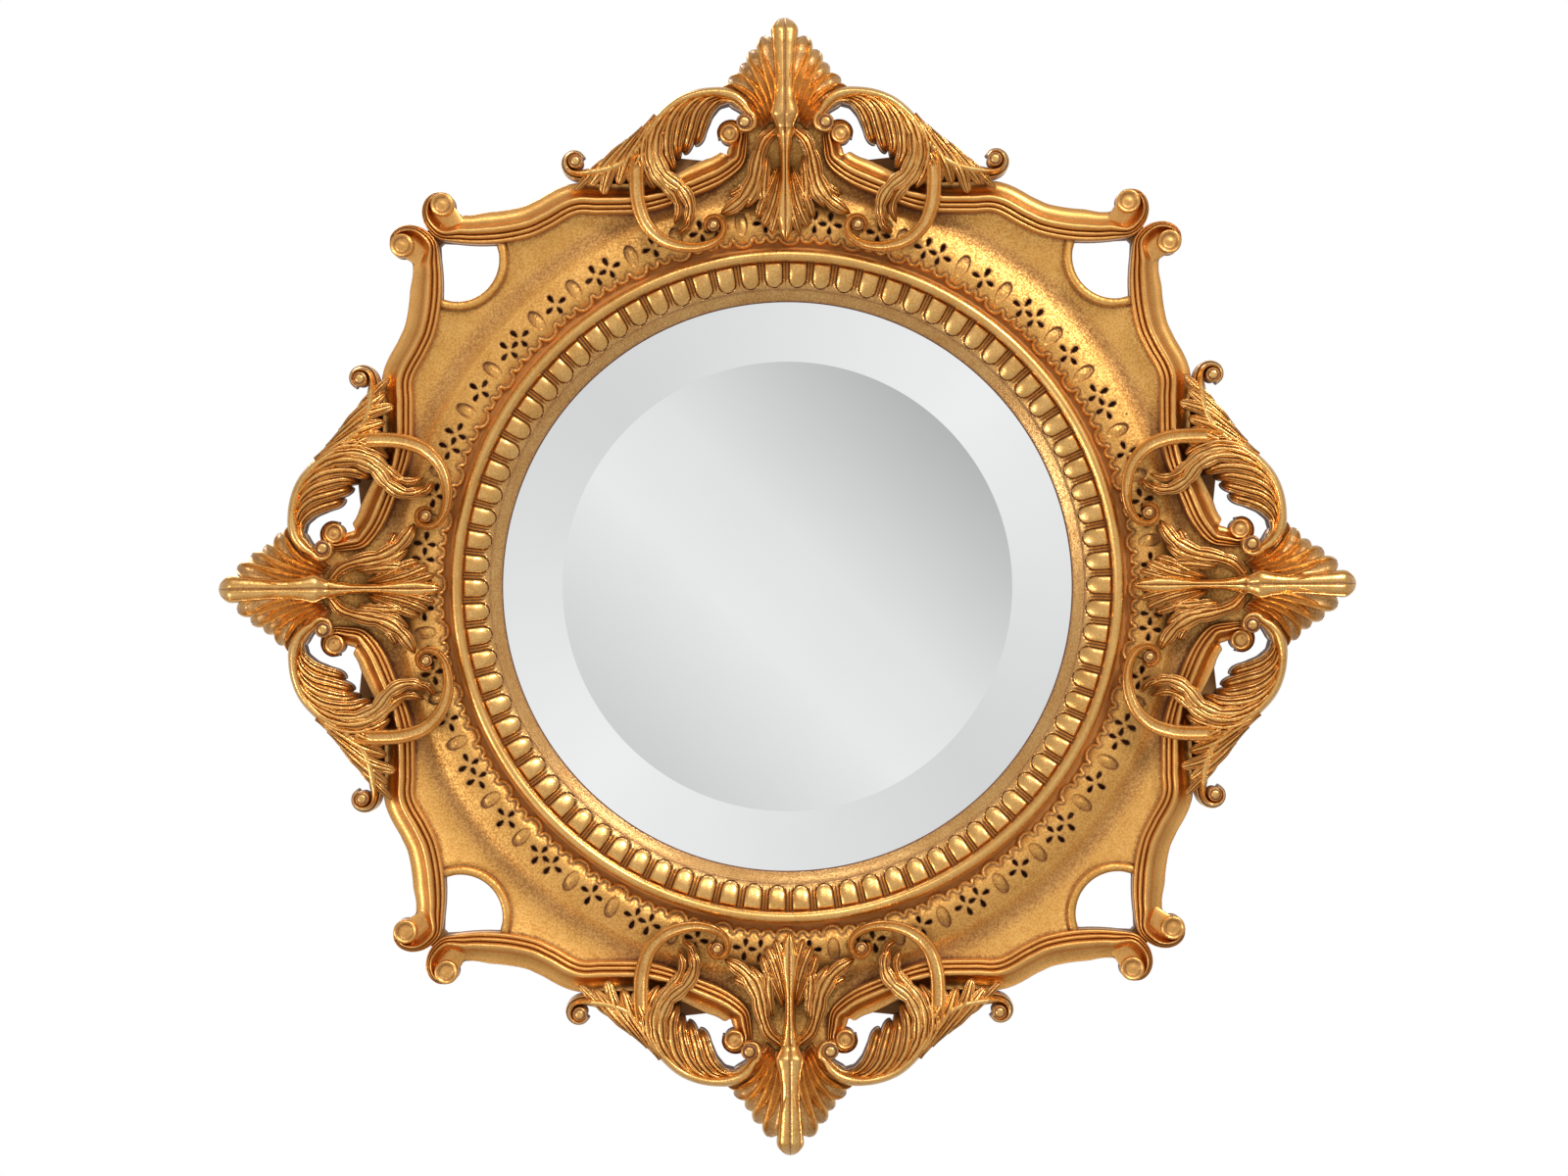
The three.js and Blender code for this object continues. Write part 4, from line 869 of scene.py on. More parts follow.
radius = np.hypot(flat[:, 0], flat[:, 1])
turned_by = np.arctan2(flat[:, 0], flat[:, 1]) / DEG
from_edge = to_outline(flat, scallop, closed=False)
lip = 0.9 * np.exp(-((from_edge - 1.2) / 0.8) ** 2) - 0.7 * np.exp(-((from_edge - 3.0) / 0.7) ** 2)
sunk, oval_rim_shade = np.zeros(len(flat)), np.zeros(len(flat))
for oval in OVALS:
    over = (turned_by - oval) * FLOWER_R * DEG / OVAL_WIDE
    up = (radius - FLOWER_R - OVAL_OUT) / OVAL_TALL
    reach = np.hypot(over, up)
    floor = 1.7 + 1.1 * up - 0.5 * np.cos(np.clip(reach * 1.3, 0, 1) * math.pi)
    sunk = np.where(reach < 0.995, floor * np.clip((0.995 - reach) / 0.12, 0, 1), sunk)
    # painted shadow inside the oval's rim, stronger on its outer side
    oval_rim_shade += np.exp(-((reach - 0.9) / 0.09) ** 2) * np.clip(0.5 + 0.75 * up, 0.15, 1.1)
from_hole = np.min([to_outline(flat, hole) for hole in petals], axis=0)
top = face_height(radius) + lip - sunk - 0.35 * np.exp(-from_hole / 0.5)
# painted shade: a little over the whole lace, in the oval rims, on deeper dish floors, in the
# groove behind the lip and round the petals
painted_shade = np.clip(0.13 + oval_rim_shade + sunk / 22 + np.exp(-((from_edge - 3.0) / 0.8) ** 2) * 0.6
               + np.exp(-from_hole / 0.45) * 0.6, 0, 1)
unit_shell = thick_sheet(flat, lace_faces, top, face_height(radius) - LACE_THICK, painted_shade, 0.45)
lace_shell = welded(*[turned_to(unit_shell, angle=-(k * 360 / LACE_UNITS + LACE_TURN) * DEG)
                      for k in range(LACE_UNITS)])
lace = make_piece("pierced_lace", lace_shell, "field_gilt", replaces=["lace_ring"],
                  sharp=50)
print("lace:", len(lace.data.polygons), "triangles,", len(petals) * LACE_UNITS, "petals")

# %% [markdown]
# ## The rails
# Each side of the border is a moulding with three reeds on its inner side and a plain hollow
# outside them. It starts as a volute at the corner, runs round the corner window, dips
# towards the lace and ends as a curl beside the crest. It is one profile carried along one
# line, drawn for the right half of the top and mirrored and turned for the others.

# %% A rail's line and profile
CORNER_EYE, CREST_EYE = place(41.8, 104.9), place(7, 58.4)
RAIL_STEPS = 340

rail_line = smooth_line(
    volute(place(42.3, 104.7), 97, -83.5, 13, 24, 4, 7)
    + [place(43.9, 77.7), place(40.5, 55.5), place(36, 40.4), place(33.2, 37.3),
       place(29.2, 35.7), place(26.5, 27.3), place(20.1, 13.6), place(14.1, 14.5),
       place(8.5, 21.3), place(5.6, 33)]
    + volute(CREST_EYE, 210, -20, 16.5, 9.8, 0.5, 8), RAIL_STEPS)
RAIL_WIDTH = [[0, 7], [0.07, 10], [0.143, 14], [0.19, 23], [0.25, 26], [0.45, 25], [0.6, 24.5],
              [0.66, 22], [0.74, 24], [0.8, 22], [0.85, 16], [0.9, 10.5], [0.96, 6], [1, 3]]
rail_profile = np.concatenate([
    [[-1, 0], [-1, 0.72]],
    arched([[-1, -0.7, 0.78, 0.86], [-0.69, -0.4, 0.82, 0.92], [-0.38, 0.1, 0.87, 1.0]]),
    [[0.14, 0.85], [0.2, 0.79], [0.32, 0.73], [0.5, 0.675], [0.7, 0.645], [0.86, 0.64],
     [0.95, 0.655], [1, 0.62], [1, 0.4], [0.97, 0]]])
RAIL_TOP = [[0, 56.2], [0.1, 57.0], [0.5, 57.3], [0.85, 56.5], [1, 55.5]]
print("the rail's line ends at", np.round(rail_line[-1], 1), "mm")

# %% [markdown]
# Where a scroll ends it is rolled up. The arms' volutes end in a round eye with a ring cut
# in it, and the rails' volutes end in a shallow cup. Both are turned pieces.

# %% Eyes and cups
def eye(centre, radius, low, high, ring):
    """A volute's eye: a button with a ring sunk ring mm into it. Painted shade lies in the sunk
    ring, grows towards the rim and fills the side.
    """
    t = np.linspace(0, 1, 12)
    dome = np.stack([radius * t, high - radius * 0.55 * t ** 2.6
                     - ring * np.exp(-((t - 0.68) / 0.12) ** 2)], 1)
    profile = np.concatenate([dome, [[radius, low], [0, low]]])
    hollow_shade = np.concatenate([np.exp(-((t - 0.68) / 0.14) ** 2) * ring + 0.25 * t, [1, 1]])
    return turned_to(turn(profile, 28, hollow_shade), at=centre)


def cup(centre, radius, low, high):
    """The end of a rolled scroll: a disc with a round rim and a shallow cup, with painted shade
    in the cup and on the side.
    """
    t = np.array([0, 0.12, 0.26, 0.4, 0.52, 0.62, 0.7, 0.78, 0.86, 0.93, 0.98, 1])
    dip = np.array([1.7, 1.85, 2.2, 2.5, 2.3, 1.7, 0.9, 0.25, 0, 0.25, 0.9, 1.8])
    profile = np.concatenate([np.stack([radius * t, high - dip], 1), [[radius, low], [0, low]]])
    hollow_shade = np.concatenate([0.5 * np.exp(-((t - 0.6) / 0.13) ** 2), [0.8, 0.8]])
    return turned_to(turn(profile, 32, hollow_shade), at=centre)


print("an eye of 6 mm has", len(eye([0, 0], 6, 0, 5, 0.6)[1]), "triangles")

# %% [markdown]
# The right half of the top is called b and its mirror image a. The eight rails are the same
# shell, mirrored for a and turned by quarters from side to side. The arms are placed in the
# same way, and the shells and pendants have one piece on each side.

# %% The rails
SIDES = ["top", "right", "bottom", "left"]
BOTH, ONE = (("_b", False), ("_a", True)), (("", False),)


def on_all_sides(name, node_name, shell, finish, hands, sharp=60):
    """Places a shell that is drawn for the top on all four sides, and mirrors it for a."""
    for quarter, side in enumerate(SIDES):
        for hand, mirrored in hands:
            ending = "_" + side + hand
            piece = make_piece(name + ending, turned_to(shell, quarter, mirrored), finish,
                               replaces=[node_name + ending], sharp=sharp)
    print(name, "has", len(piece.data.polygons), "triangles")


rail_shell = gather(
    carry(rail_line, RAIL_WIDTH, [[0, BASE]], RAIL_TOP, rail_profile, edge=True),
    # the plain hollow runs on under the corner volute and fills the wedge beside it
    carry(smooth_line([(261, 286), (268, 295), (274.5, 304)], 16),
          [[0, 15], [1, 17]], [[0, BASE]], [[0, 46.3], [1, 47.5]],
          [[-1, 0], [-1, 0.7], [-0.8, 1], [0, 0.97], [0.8, 1], [1, 0.7], [1, 0]], depth=0.5,
          relief=3.0),
    cup(CORNER_EYE, 9.6, BASE, 57.2),
    cup(CREST_EYE, 8.0, BASE, 55.5))
on_all_sides("reeded_rail", "rail", rail_shell, "rail_gilt", BOTH, sharp=38)

# %% [markdown]
# ## The field
# The broad hollow between the lace and the rails is one plain surface with a stippled gold
# face, pierced by a round window in each corner. A raised band runs round each window. The
# sheet is cut for one quarter, from the top crest to the right one, and turned.

# %% The flat quarter
FIELD_STEPS = slice(39, 315)     # the steps of the rail's line that the field follows
UNDER_LACE = 3.2
WINDOW, WINDOW_R = np.array(place(45, 66)), 34.0

edge_part = rail_line[FIELD_STEPS]
edge_part = edge_part[edge_part[:, 1] > edge_part[:, 0] + 0.2]
right_side = edge_part[:, ::-1]
rail_edge = np.concatenate([right_side[::-1], edge_part])
ring_in = polar(np.linspace(0, 90, 61), LACE_OUT - UNDER_LACE)
quarter_outline = np.concatenate([ring_in, [[right_side[-1, 0], 0]], rail_edge,
                                  [[0, edge_part[-1, 1]]]])


def round_window(radius, count=72):
    """A circle of points round the middle of the corner window."""
    t = np.arange(count) / count * 2 * math.pi
    return WINDOW + radius * np.stack([np.cos(t), np.sin(t)], 1)


def on_field(points):
    """On the quarter and outside the window."""
    return (inside(points, quarter_outline)
            & (np.linalg.norm(points - WINDOW, axis=1) > WINDOW_R - 0.02))


bands = np.concatenate([round_window(r) for r in
                        (34.5, 35.4, 37, 38.8, 39.9, 40.4, 40.9, 41.6, 43)])
net = net_points([0, 0], quarter_outline.max(0), 3.2)
net = net[inside(net, quarter_outline)]
net = np.concatenate([net[np.linalg.norm(net - WINDOW, axis=1) > 44.5],
                      bands[inside(bands, quarter_outline)]])
net = net[to_outline(net, quarter_outline) > 1.1]
flat, field_faces = sheet_triangles([quarter_outline, round_window(WINDOW_R)], net, on_field)
print("the flat quarter has", len(field_faces), "triangles")

# %% [markdown]
# The height is the curve of the broad faces, with the raised band and the groove outside it
# round the window. Shade is painted into the groove, along the trough, beside the rails and
# on the walls.

# %% The field
BAND_RISE, BAND_WIDE, GROOVE_AT = 24.3, 6.6, 7.3

radius = np.hypot(flat[:, 0], flat[:, 1])
around = np.linalg.norm(flat - WINDOW, axis=1) - WINDOW_R
on_band = np.clip((6.9 - around) / 0.9, 0, 1)
band_top = (BOARD + BAND_RISE + 1.5 * np.sin(np.clip(around / BAND_WIDE, 0, 1) * math.pi)
            - 1.5 * np.exp(-around / 0.5))
groove = np.exp(-((around - GROOVE_AT) / 0.55) ** 2)
level = face_height(np.maximum(radius, LACE_OUT))
top = level * (1 - on_band) + band_top * on_band - 0.9 * groove
# painted shade where the field meets the rails
rail_shade = np.exp(-to_outline(flat, rail_edge, closed=False) / 1.6)
# painted shade along the trough next to the lace
trough = 0.42 * np.exp(-((radius - LACE_OUT - 12) / 9) ** 2)
painted_shade = np.clip(0.75 * groove + 0.55 * rail_shade + trough * (1 - on_band), 0, 1)
field_shell = thick_sheet(flat, field_faces, top, np.full(len(flat), BASE), painted_shade, 0.6)
field = make_piece("stippled_field", welded(*[turned_to(field_shell, k) for k in range(4)]),
                   "field_gilt", replaces=["field_panel"], sharp=50)
print("field:", len(field.data.polygons), "triangles")

# %% [markdown]
# ## Leaves, flutes and scrolls
# The crests are carved as bundles of leaf ribs. A rib is one gouge profile carried along its
# own line, wide in the middle and narrow at the ends: a ridged leaf, a hollow flute between
# two rims, or a creased tongue. Ribs that overlap at different heights read as one leaf.

# %% Rib profiles
def symmetric(half):
    """Mirrors the right half of a profile to the left."""
    half = np.asarray(half, float)
    return np.concatenate([half[::-1] * [-1, 1], half[1:] if half[0, 0] == 0 else half])


RIDGED = symmetric([[0, 1.0], [0.1, 0.985], [0.2, 0.94], [0.28, 0.86], [0.34, 0.78],
                    [0.4, 0.85], [0.5, 0.915], [0.6, 0.9], [0.68, 0.82], [0.73, 0.74],
                    [0.8, 0.8], [0.88, 0.79], [0.95, 0.62], [1, 0.35], [1, 0.1], [0.94, 0]])
FLUTED = symmetric([[0, 0.66], [0.2, 0.67], [0.4, 0.73], [0.54, 0.83], [0.64, 0.94],
                    [0.74, 1.0], [0.85, 0.95], [0.94, 0.78], [1, 0.5], [1, 0.2], [0.95, 0]])
TONGUE = symmetric([[0, 0.86], [0.04, 0.87], [0.1, 0.95], [0.18, 0.995], [0.32, 1.0],
                    [0.46, 0.97], [0.6, 0.91], [0.7, 0.84], [0.75, 0.78], [0.8, 0.85],
                    [0.87, 0.87], [0.94, 0.76], [1, 0.45], [1, 0.15], [0.96, 0]])


def rib(points, widths, low, high, profile, count=48, depth=5.0, relief=15.0, lobes=0):
    """A leaf rib with a round tip. Widths are evenly spaced along the line, and so are the
    heights low and high. Over the last half width w of the run, the width falls as a circle
    does: w x the root of (1 - t squared), with t going from 0 to 1, and the top falls with
    it. With lobes the sides swell that many times along the run u: the width goes from 0.72
    of itself, where the sine of lobes x pi x u is 0, to 1.06 of itself between."""
    line = smooth_line(points, count)
    u = np.linspace(0, 1, count)

    def spaced(values):
        """Values spread evenly along the line."""
        values = np.atleast_1d(values).astype(float)
        if len(values) == 1:
            return np.full(count, values[0])
        return eased(np.stack([np.linspace(0, 1, len(values)), values], 1), u)

    wide, foot, top = spaced(widths), spaced(low), spaced(high)
    # each underside has a height of its own, because two in one plane would flicker
    foot = foot + (points[0][0] * 0.713 + points[-1][1] * 0.317) % 0.5
    run = np.linalg.norm(np.diff(line, axis=0), axis=1).sum()
    tip = min(0.45, wide[-1] / 2 / run + 0.04)
    falling = np.sqrt(1 - np.clip((u - 1 + tip) / tip, 0, 0.985) ** 2)
    if lobes:
        wide = wide * (0.72 + 0.34 * np.abs(np.sin(lobes * math.pi * u)) ** 0.6)
    top = foot + (top - foot) * (0.45 + 0.55 * falling)
    tables = [np.stack([u, values], 1) for values in (wide * falling, foot, top)]
    return carry(line, *tables, profile, depth=depth, relief=relief)


print("profiles have", len(RIDGED), len(FLUTED), len(TONGUE), "corners")

# %% [markdown]
# ## The arms
# Each crest has two arms. An arm is an S-scroll with a smooth round back that rises from the
# rail to the shell, with an eye at each end.

# %% An arm's scroll
ARM_TOP = BASE + 46
LOW_EYE, HIGH_EYE, HOOK_EYE = place(26.2, 72.9), place(5, 65.2), [57.6, 289.0]

arm_line = smooth_line(
    volute(LOW_EYE, 150, -90, 6.7, 10.4, 1.5, 7)
    + [place(23.5, 55.1), place(21.1, 54.6), place(19.5, 58.1), place(17.8, 63.7),
       place(16.1, 73), place(14.6, 80.6), place(12.1, 88.7), place(9.1, 90.9),
       place(6.2, 86.6), place(5.1, 80.4)]
    + volute(HIGH_EYE, 115, 310, 8.4, 6, 1, 7), 200)
ARM_WIDTH = [[0, 4], [0.12, 6.8], [0.24, 13.4], [0.38, 13.5], [0.48, 12.8], [0.6, 13.5],
             [0.76, 13.5], [0.84, 9.7], [0.9, 6.7], [1, 4]]
arm_profile = [[-1, 0], [-1, 0.55], [-0.93, 0.7], [-0.8, 0.77], [-0.66, 0.77], [-0.54, 0.71],
               [-0.46, 0.75], [-0.36, 0.85], [-0.2, 0.93], [0, 0.975], [0.2, 1.0], [0.42, 0.99],
               [0.62, 0.94], [0.8, 0.84], [0.92, 0.71], [1, 0.52], [1, 0.2], [0.94, 0]]
arm_parts = [
    carry(arm_line, ARM_WIDTH, [[0, BASE], [0.72, BASE], [0.82, OVER_RAIL], [1, OVER_RAIL]],
          [[0, ARM_TOP - 6], [0.3, ARM_TOP - 5], [0.55, ARM_TOP - 1], [0.8, ARM_TOP + 1],
           [1, ARM_TOP - 1]], np.array(arm_profile)),
    eye(LOW_EYE, 5.8, BASE, ARM_TOP - 5, 0.6),
    eye(HIGH_EYE, 6.6, OVER_RAIL, ARM_TOP + 0.6, 0.9),
    eye(HOOK_EYE, 5.0, OVER_FIELD, 61.5, 0.7)]
print("the scroll has", sum(len(part[1]) for part in arm_parts), "triangles")

# %% [markdown]
# Four leaves hang from the inner side of the scroll, the innermost first. A long tail with
# two strands beside it runs down over the rail, and a short leaf curls round its end.

# %% The leaves and the tail
arm_parts += [
    rib([(40.5, 388.4), (52.7, 387.5), (61.0, 380.4), (66.1, 370.1), (69.2, 359.8),
         (71.8, 354.2)], [3, 7, 9.5, 10.5, 10, 7], BASE, [62, 65.5, 66, 65, 62, 58], RIDGED),
    rib([(47.6, 393.0), (61.9, 389.0), (71.2, 379.4), (75.3, 367.0), (78.4, 355.8),
         (80.5, 347.6)], [4, 9, 11, 12, 11, 8], BASE, [64, 67, 68, 67, 63.5, 59], RIDGED),
    rib([(57.8, 393.5), (72.2, 387.6), (81.4, 377.3), (85.6, 365.0), (87.6, 352.7),
         (85.6, 343.5)], [4, 9, 12, 12.5, 12, 8], BASE, [65, 68, 68.5, 67.5, 64.5, 59], RIDGED),
    rib([(68.1, 394.0), (82.4, 384.5), (91.2, 373.2), (94.8, 358.8), (94.3, 344.5),
         (89.2, 333.3)], [4, 9, 12.5, 13, 12, 8], BASE, [66, 68.5, 69, 68, 65.5, 60], RIDGED),
    rib([(82.4, 388.0), (94.7, 375.3), (102.4, 358.8), (102.4, 342.4), (95.2, 328.1),
         (82.9, 317.8), (76.8, 307.6), (76.3, 297.3), (80.9, 287.6)],
        [4, 9, 12, 13, 13, 12.5, 12, 10, 5], [45, 45, 52, OVER_RAIL, OVER_RAIL, OVER_RAIL, 52,
                                              OVER_FIELD],
        [66, 69, 69.5, 69, 68, 67, 66, 64, 60], RIDGED, 96, lobes=7),
    rib([(92.7, 381.4), (103.5, 367.0), (108.1, 350.6), (105.5, 334.2), (96.8, 320.9),
         (88.6, 311.7), (85.5, 301.4), (88.7, 290.2)], [4, 9, 11.5, 12, 11, 9, 7, 4],
        [45, 50, OVER_RAIL, OVER_RAIL, OVER_RAIL, 52, OVER_FIELD],
        [67, 69.5, 69.5, 68.5, 66, 63.5, 60.5, 57], RIDGED, 80, lobes=6),
    rib([(103.0, 375.2), (111.7, 359.8), (114.2, 344.5), (110.1, 329.1), (104, 318)],
        [4, 10, 12, 10, 6], OVER_RAIL - 6, [67, 69, 68.5, 66, 60], RIDGED, 64, lobes=4),
    rib([(78.5, 306.0), (76.5, 297.0), (78.0, 288.2), (85.5, 282.6)], [3, 6, 6, 4],
        OVER_FIELD, [61, 63, 61, 57], RIDGED)]
print("an arm has", len(arm_parts), "strokes so far")

# %% [markdown]
# A fluted hook curls in over the lace, and small leaflets fill the corner above the rail.

# %% The hook, the leaflets and the arms
arm_parts += [
    rib([(113.3, 356.0), (117.8, 340.3), (118.6, 321.9), (117.0, 305.5), (110.9, 289.1),
         (97.8, 276.6), (78.3, 271.0), (61.4, 273.2), (51.1, 280.4), (49.3, 289.1),
         (54.0, 295.4), (61.0, 295.0), (64.4, 289.2), (61.8, 283.6)],
        [8, 11.5, 12.5, 12.5, 12, 11.5, 10.5, 9.5, 8.5, 7.5, 6, 5, 4, 3],
        [OVER_RAIL, OVER_RAIL, OVER_RAIL, 52, OVER_FIELD],
        [64, 67, 67.5, 67, 66.5, 66, 65.5, 64.5, 63.5, 62.5, 62, 61.5, 61, 60.5], FLUTED, 120,
        0.6),
    rib([(103.0, 376.2), (116.3, 356.7), (126.1, 341.4), (133.3, 320.9)], [5, 10, 12, 8],
        OVER_RAIL - 4, [66.5, 68, 66.5, 60.5], RIDGED),
    rib([(113.2, 366.9), (127.1, 350.5), (138.9, 334.7), (146.1, 313.7)], [4, 9, 11, 8],
        OVER_RAIL - 4, [66, 67, 65.5, 59.5], RIDGED),
    rib([(125.6, 356.6), (140.9, 340.2), (156.3, 320.8)], [4, 9, 11, 7], OVER_RAIL - 4,
        [65, 66, 64.5, 59], RIDGED),
    rib([(140.6, 344.6), (154.9, 330.2), (168.3, 316.8)], [3, 7, 7, 4], OVER_RAIL - 4,
        [62, 64, 62.5, 59], RIDGED),
    rib([(112.2, 350.5), (120.5, 334.2), (124.6, 323.1)], [5, 9, 10, 6], OVER_RAIL - 2,
        [66, 67, 64.5, 60], RIDGED)]
on_all_sides("leafy_arm", "arm", gather(*arm_parts), "carved_gilt", BOTH)

# %% [markdown]
# ## The shells
# A shell stands on the middle of each side. A long tongue with a crease rises over its middle
# and bulges at its foot, and flutes fan out from the foot on both sides, each with thin rims.

# %% The shells
def both_sides(shell):
    """A shell and its mirror image."""
    return gather(shell, turned_to(shell, mirrored=True))


flutes = [
    ([(17, 366), (25, 377.4), (36, 386.5), (46, 390.5)], [5, 9, 11, 11, 9], [62, 65, 63, 59, 57]),
    ([(15, 368), (23, 382.4), (35, 393.5), (51, 398.5)], [5, 10, 13, 13, 11],
     [63, 67, 65, 61, 58]),
    ([(13.3, 370), (21.0, 389.6), (32.5, 401), (45, 407.0)], [5, 11, 14, 15, 12],
     [64, 68, 66.5, 63, 59]),
    ([(10.5, 371), (17.0, 395), (25.7, 409), (35.3, 418.0)], [5, 11, 15, 16, 13],
     [65, 69, 68, 65, 60]),
    ([(7.7, 372), (12.3, 397), (19.5, 415), (27.5, 429.5)], [5, 11, 15.5, 17, 14],
     [66, 69.5, 69, 66, 61]),
    ([(5.3, 373), (7.7, 399), (12.3, 421.5), (17.0, 441.0)], [5, 11, 15, 17, 14],
     [66, 70, 69.5, 67, 62])]
shell_parts = [both_sides(rib(points, widths, BASE, heights, FLUTED, 52, 1.25, 13.0))
               for points, widths, heights in flutes]
tongue = rib([(0, y) for y in np.linspace(366.5, 455.6, 9)],
             [15, 24, 19, 16.5, 16.5, 18.5, 20.5, 22, 19.5], BASE,
             [65, 71.2, 70.6, 69.6, 69.2, 68.8, 68.2, 67.0, 62], TONGUE, 80, 4.0, 11.0)
on_all_sides("fluted_shell", "shell", gather(*shell_parts, tongue), "carved_gilt",
             ONE)

# %% [markdown]
# ## The pendants
# A spear-shaped leaf hangs from each shell's foot over the lace. Shorter leaves lie beside
# its point, and on each side a pair of leaves arches away from a dark slot and curls out.

# %% The pendants
pendant_parts = [
    rib([(0, 367), (0, 345), (0, 320), (0, 298), (0, 275.9)],
        [18, 12, 8.5, 7.5, 8, 11, 14.5, 15.5, 11, 4], OVER_FIELD,
        [60.5, 61.5, 62, 62.3, 62.3, 62.2, 62, 61.5, 60, 58], TONGUE, 80, 4.0)]
for points, widths, heights, lobes in (
        # the outer leaf of each side, its two lobes inside, and one below its point
        ([(8, 364.9), (17.5, 356), (22.8, 339.3), (26.6, 322.9), (34.0, 310.6), (44.0, 302.5),
          (52.0, 298.0)], [8, 10.5, 12, 14, 15, 12, 6], [63, 64.2, 64.2, 63.4, 62.4, 60.5, 57], 4),
        ([(7, 361.5), (13.6, 355.8), (18.4, 345), (20.2, 331.2), (24.5, 315.8), (31.5, 303.5)],
         [5, 7, 8.5, 10.5, 11, 6], [63, 64, 63.5, 62.5, 61.5, 57.5], 3),
        ([(14.0, 343), (15.5, 332), (17.0, 318), (16.0, 304.5)], [4, 9, 12, 8],
         [60, 61.5, 61.5, 58], 3),
        ([(30.5, 322), (38.0, 316.0), (45.0, 312.5)], [5, 8, 5], [60, 60.5, 58], 2),
        # the leaves beside the point
        ([(4.4, 330), (8.4, 311.6), (12.4, 299.3), (18.0, 287.4)], [3, 7.5, 9.5, 7],
         [60, 61.5, 61, 57], 3),
        ([(5.4, 336), (11.7, 319.8), (17.4, 308.6), (22.2, 294.7)], [3, 6.5, 8, 6],
         [59, 60.5, 60, 56], 3),
        ([(3.2, 322), (4.8, 306), (7.6, 294), (11.3, 282)], [3, 6, 8, 6],
         [60.5, 61.5, 61, 57], 0)):
    pendant_parts.append(both_sides(rib(points, widths, OVER_FIELD, heights, RIDGED, 56,
                                        lobes=lobes)))
on_all_sides("leaf_pendant", "pendant", gather(*pendant_parts), "carved_gilt", ONE)

# %% [markdown]
# ## The back
# The back frame, the closing disc and the packing ring keep their solids and are given wood
# and board. The front and the sides of the back frame are toned with ochre, as gilders do, so
# that the edge which shows between the carvings looks golden. The material finds them by the
# normal, which has y = -1 on a front face.

# %% Wood and board
def refinish(node_name, finish):
    """Gives a kept solid a finish through its material slots."""
    for slot in bpy.data.objects[node_name].material_slots:
        slot.material = finishes[finish]


toned = finishes["stained_pine"].copy()
toned.name = "toned_pine"
finishes["toned_pine"] = toned
tree = toned.node_tree
shader = tree.nodes["Principled BSDF"]
wood = shader.inputs["Base Color"].links[0].from_socket
facing = node(tree, "ShaderNodeSeparateXYZ",
              {"Vector": node(tree, "ShaderNodeTexCoord").outputs["Normal"]}).outputs["Y"]
forward = ramp(tree, arithmetic(tree, "MULTIPLY_ADD", facing, -0.5, 0.5),
               [(0.2, 0.0), (0.5, 0.6), (0.9, 1.0)])
ochre = mixed(tree, wood, (0.42, 0.2, 0.055, 1), (0.62, 0.33, 0.1, 1))
tree.links.new(mixed(tree, forward, wood, ochre), shader.inputs["Base Color"])
refinish("back_frame", "toned_pine")
refinish("backing_board", "hardboard")
refinish("packing_ring", "packing_pine")
print("wood and board are on")

# %% [markdown]
# ## The fittings
# The fittings are made anew with round edges. Three helpers make them all: a plate over an
# outline, a slotted screw, and a closed wire. They lie against the back frame, in the gap
# between it and the wall.

# %% Plates, screws and wire
WALL_GAP, SEAT = 6.0, 0.3
PLATE_FACE = WALL_GAP - SEAT          # fittings lie against the back frame here


def round_plate(outline, low, high, edge):
    """A plate over a convex outline whose edges are rounded by a quarter circle of radius
    edge: at an angle a the outline is drawn in by edge x (1 - cos a)."""
    outline = np.asarray(outline, float)
    middle = outline.mean(0)
    reach = np.linalg.norm(outline - middle, axis=1)[:, None]
    angle = np.linspace(0, np.pi / 2, 5)
    rows = [(edge * (1 - np.sin(a)), low + edge * (1 - np.cos(a))) for a in angle]
    rows += [(inset, high + low - h) for inset, h in rows[::-1]]
    rings = [np.column_stack([middle + (outline - middle) * (1 - inset / reach),
                              np.full(len(outline), h)]) for inset, h in rows]
    count, last = len(outline), len(rings) - 1
    corners = np.concatenate(rings + [[[*middle, low], [*middle, high]]])
    j = np.arange(count)
    k = (j + 1) % count
    caps = [np.stack([np.full(count, len(corners) - 2), k, j], 1),
            np.stack([np.full(count, len(corners) - 1), last * count + j, last * count + k], 1)]
    triangles = np.concatenate([grid_triangles(len(rings), count)] + caps)
    return corners, outward(corners, triangles), np.zeros(len(corners))


def screw(centre, face, turned_by):
    """A round-headed screw seen from behind, with its head under the height face. The slot is
    sunk where the distance from a line through the middle is small."""
    radius = np.linspace(0, 1, 26)
    head = [[4.1 * r, face - 0.25 - 1.75 * np.sqrt(1 - 0.92 * r * r)] for r in radius]
    corners, triangles, hollow_shade = turn(head + [[4.15, face - 0.1], [4.0, face], [1.9, face],
                                              [1.9, 16.6], [0, 16.6]], 96)
    corners = corners.copy()
    aside = np.abs(corners[:, 0] * np.sin(turned_by) - corners[:, 1] * np.cos(turned_by))
    in_slot = (aside < 0.5) & (corners[:, 2] < face - 0.3)
    corners[in_slot, 2] = np.maximum(corners[in_slot, 2], face - 1.0)
    return corners + [*centre, 0], triangles, hollow_shade


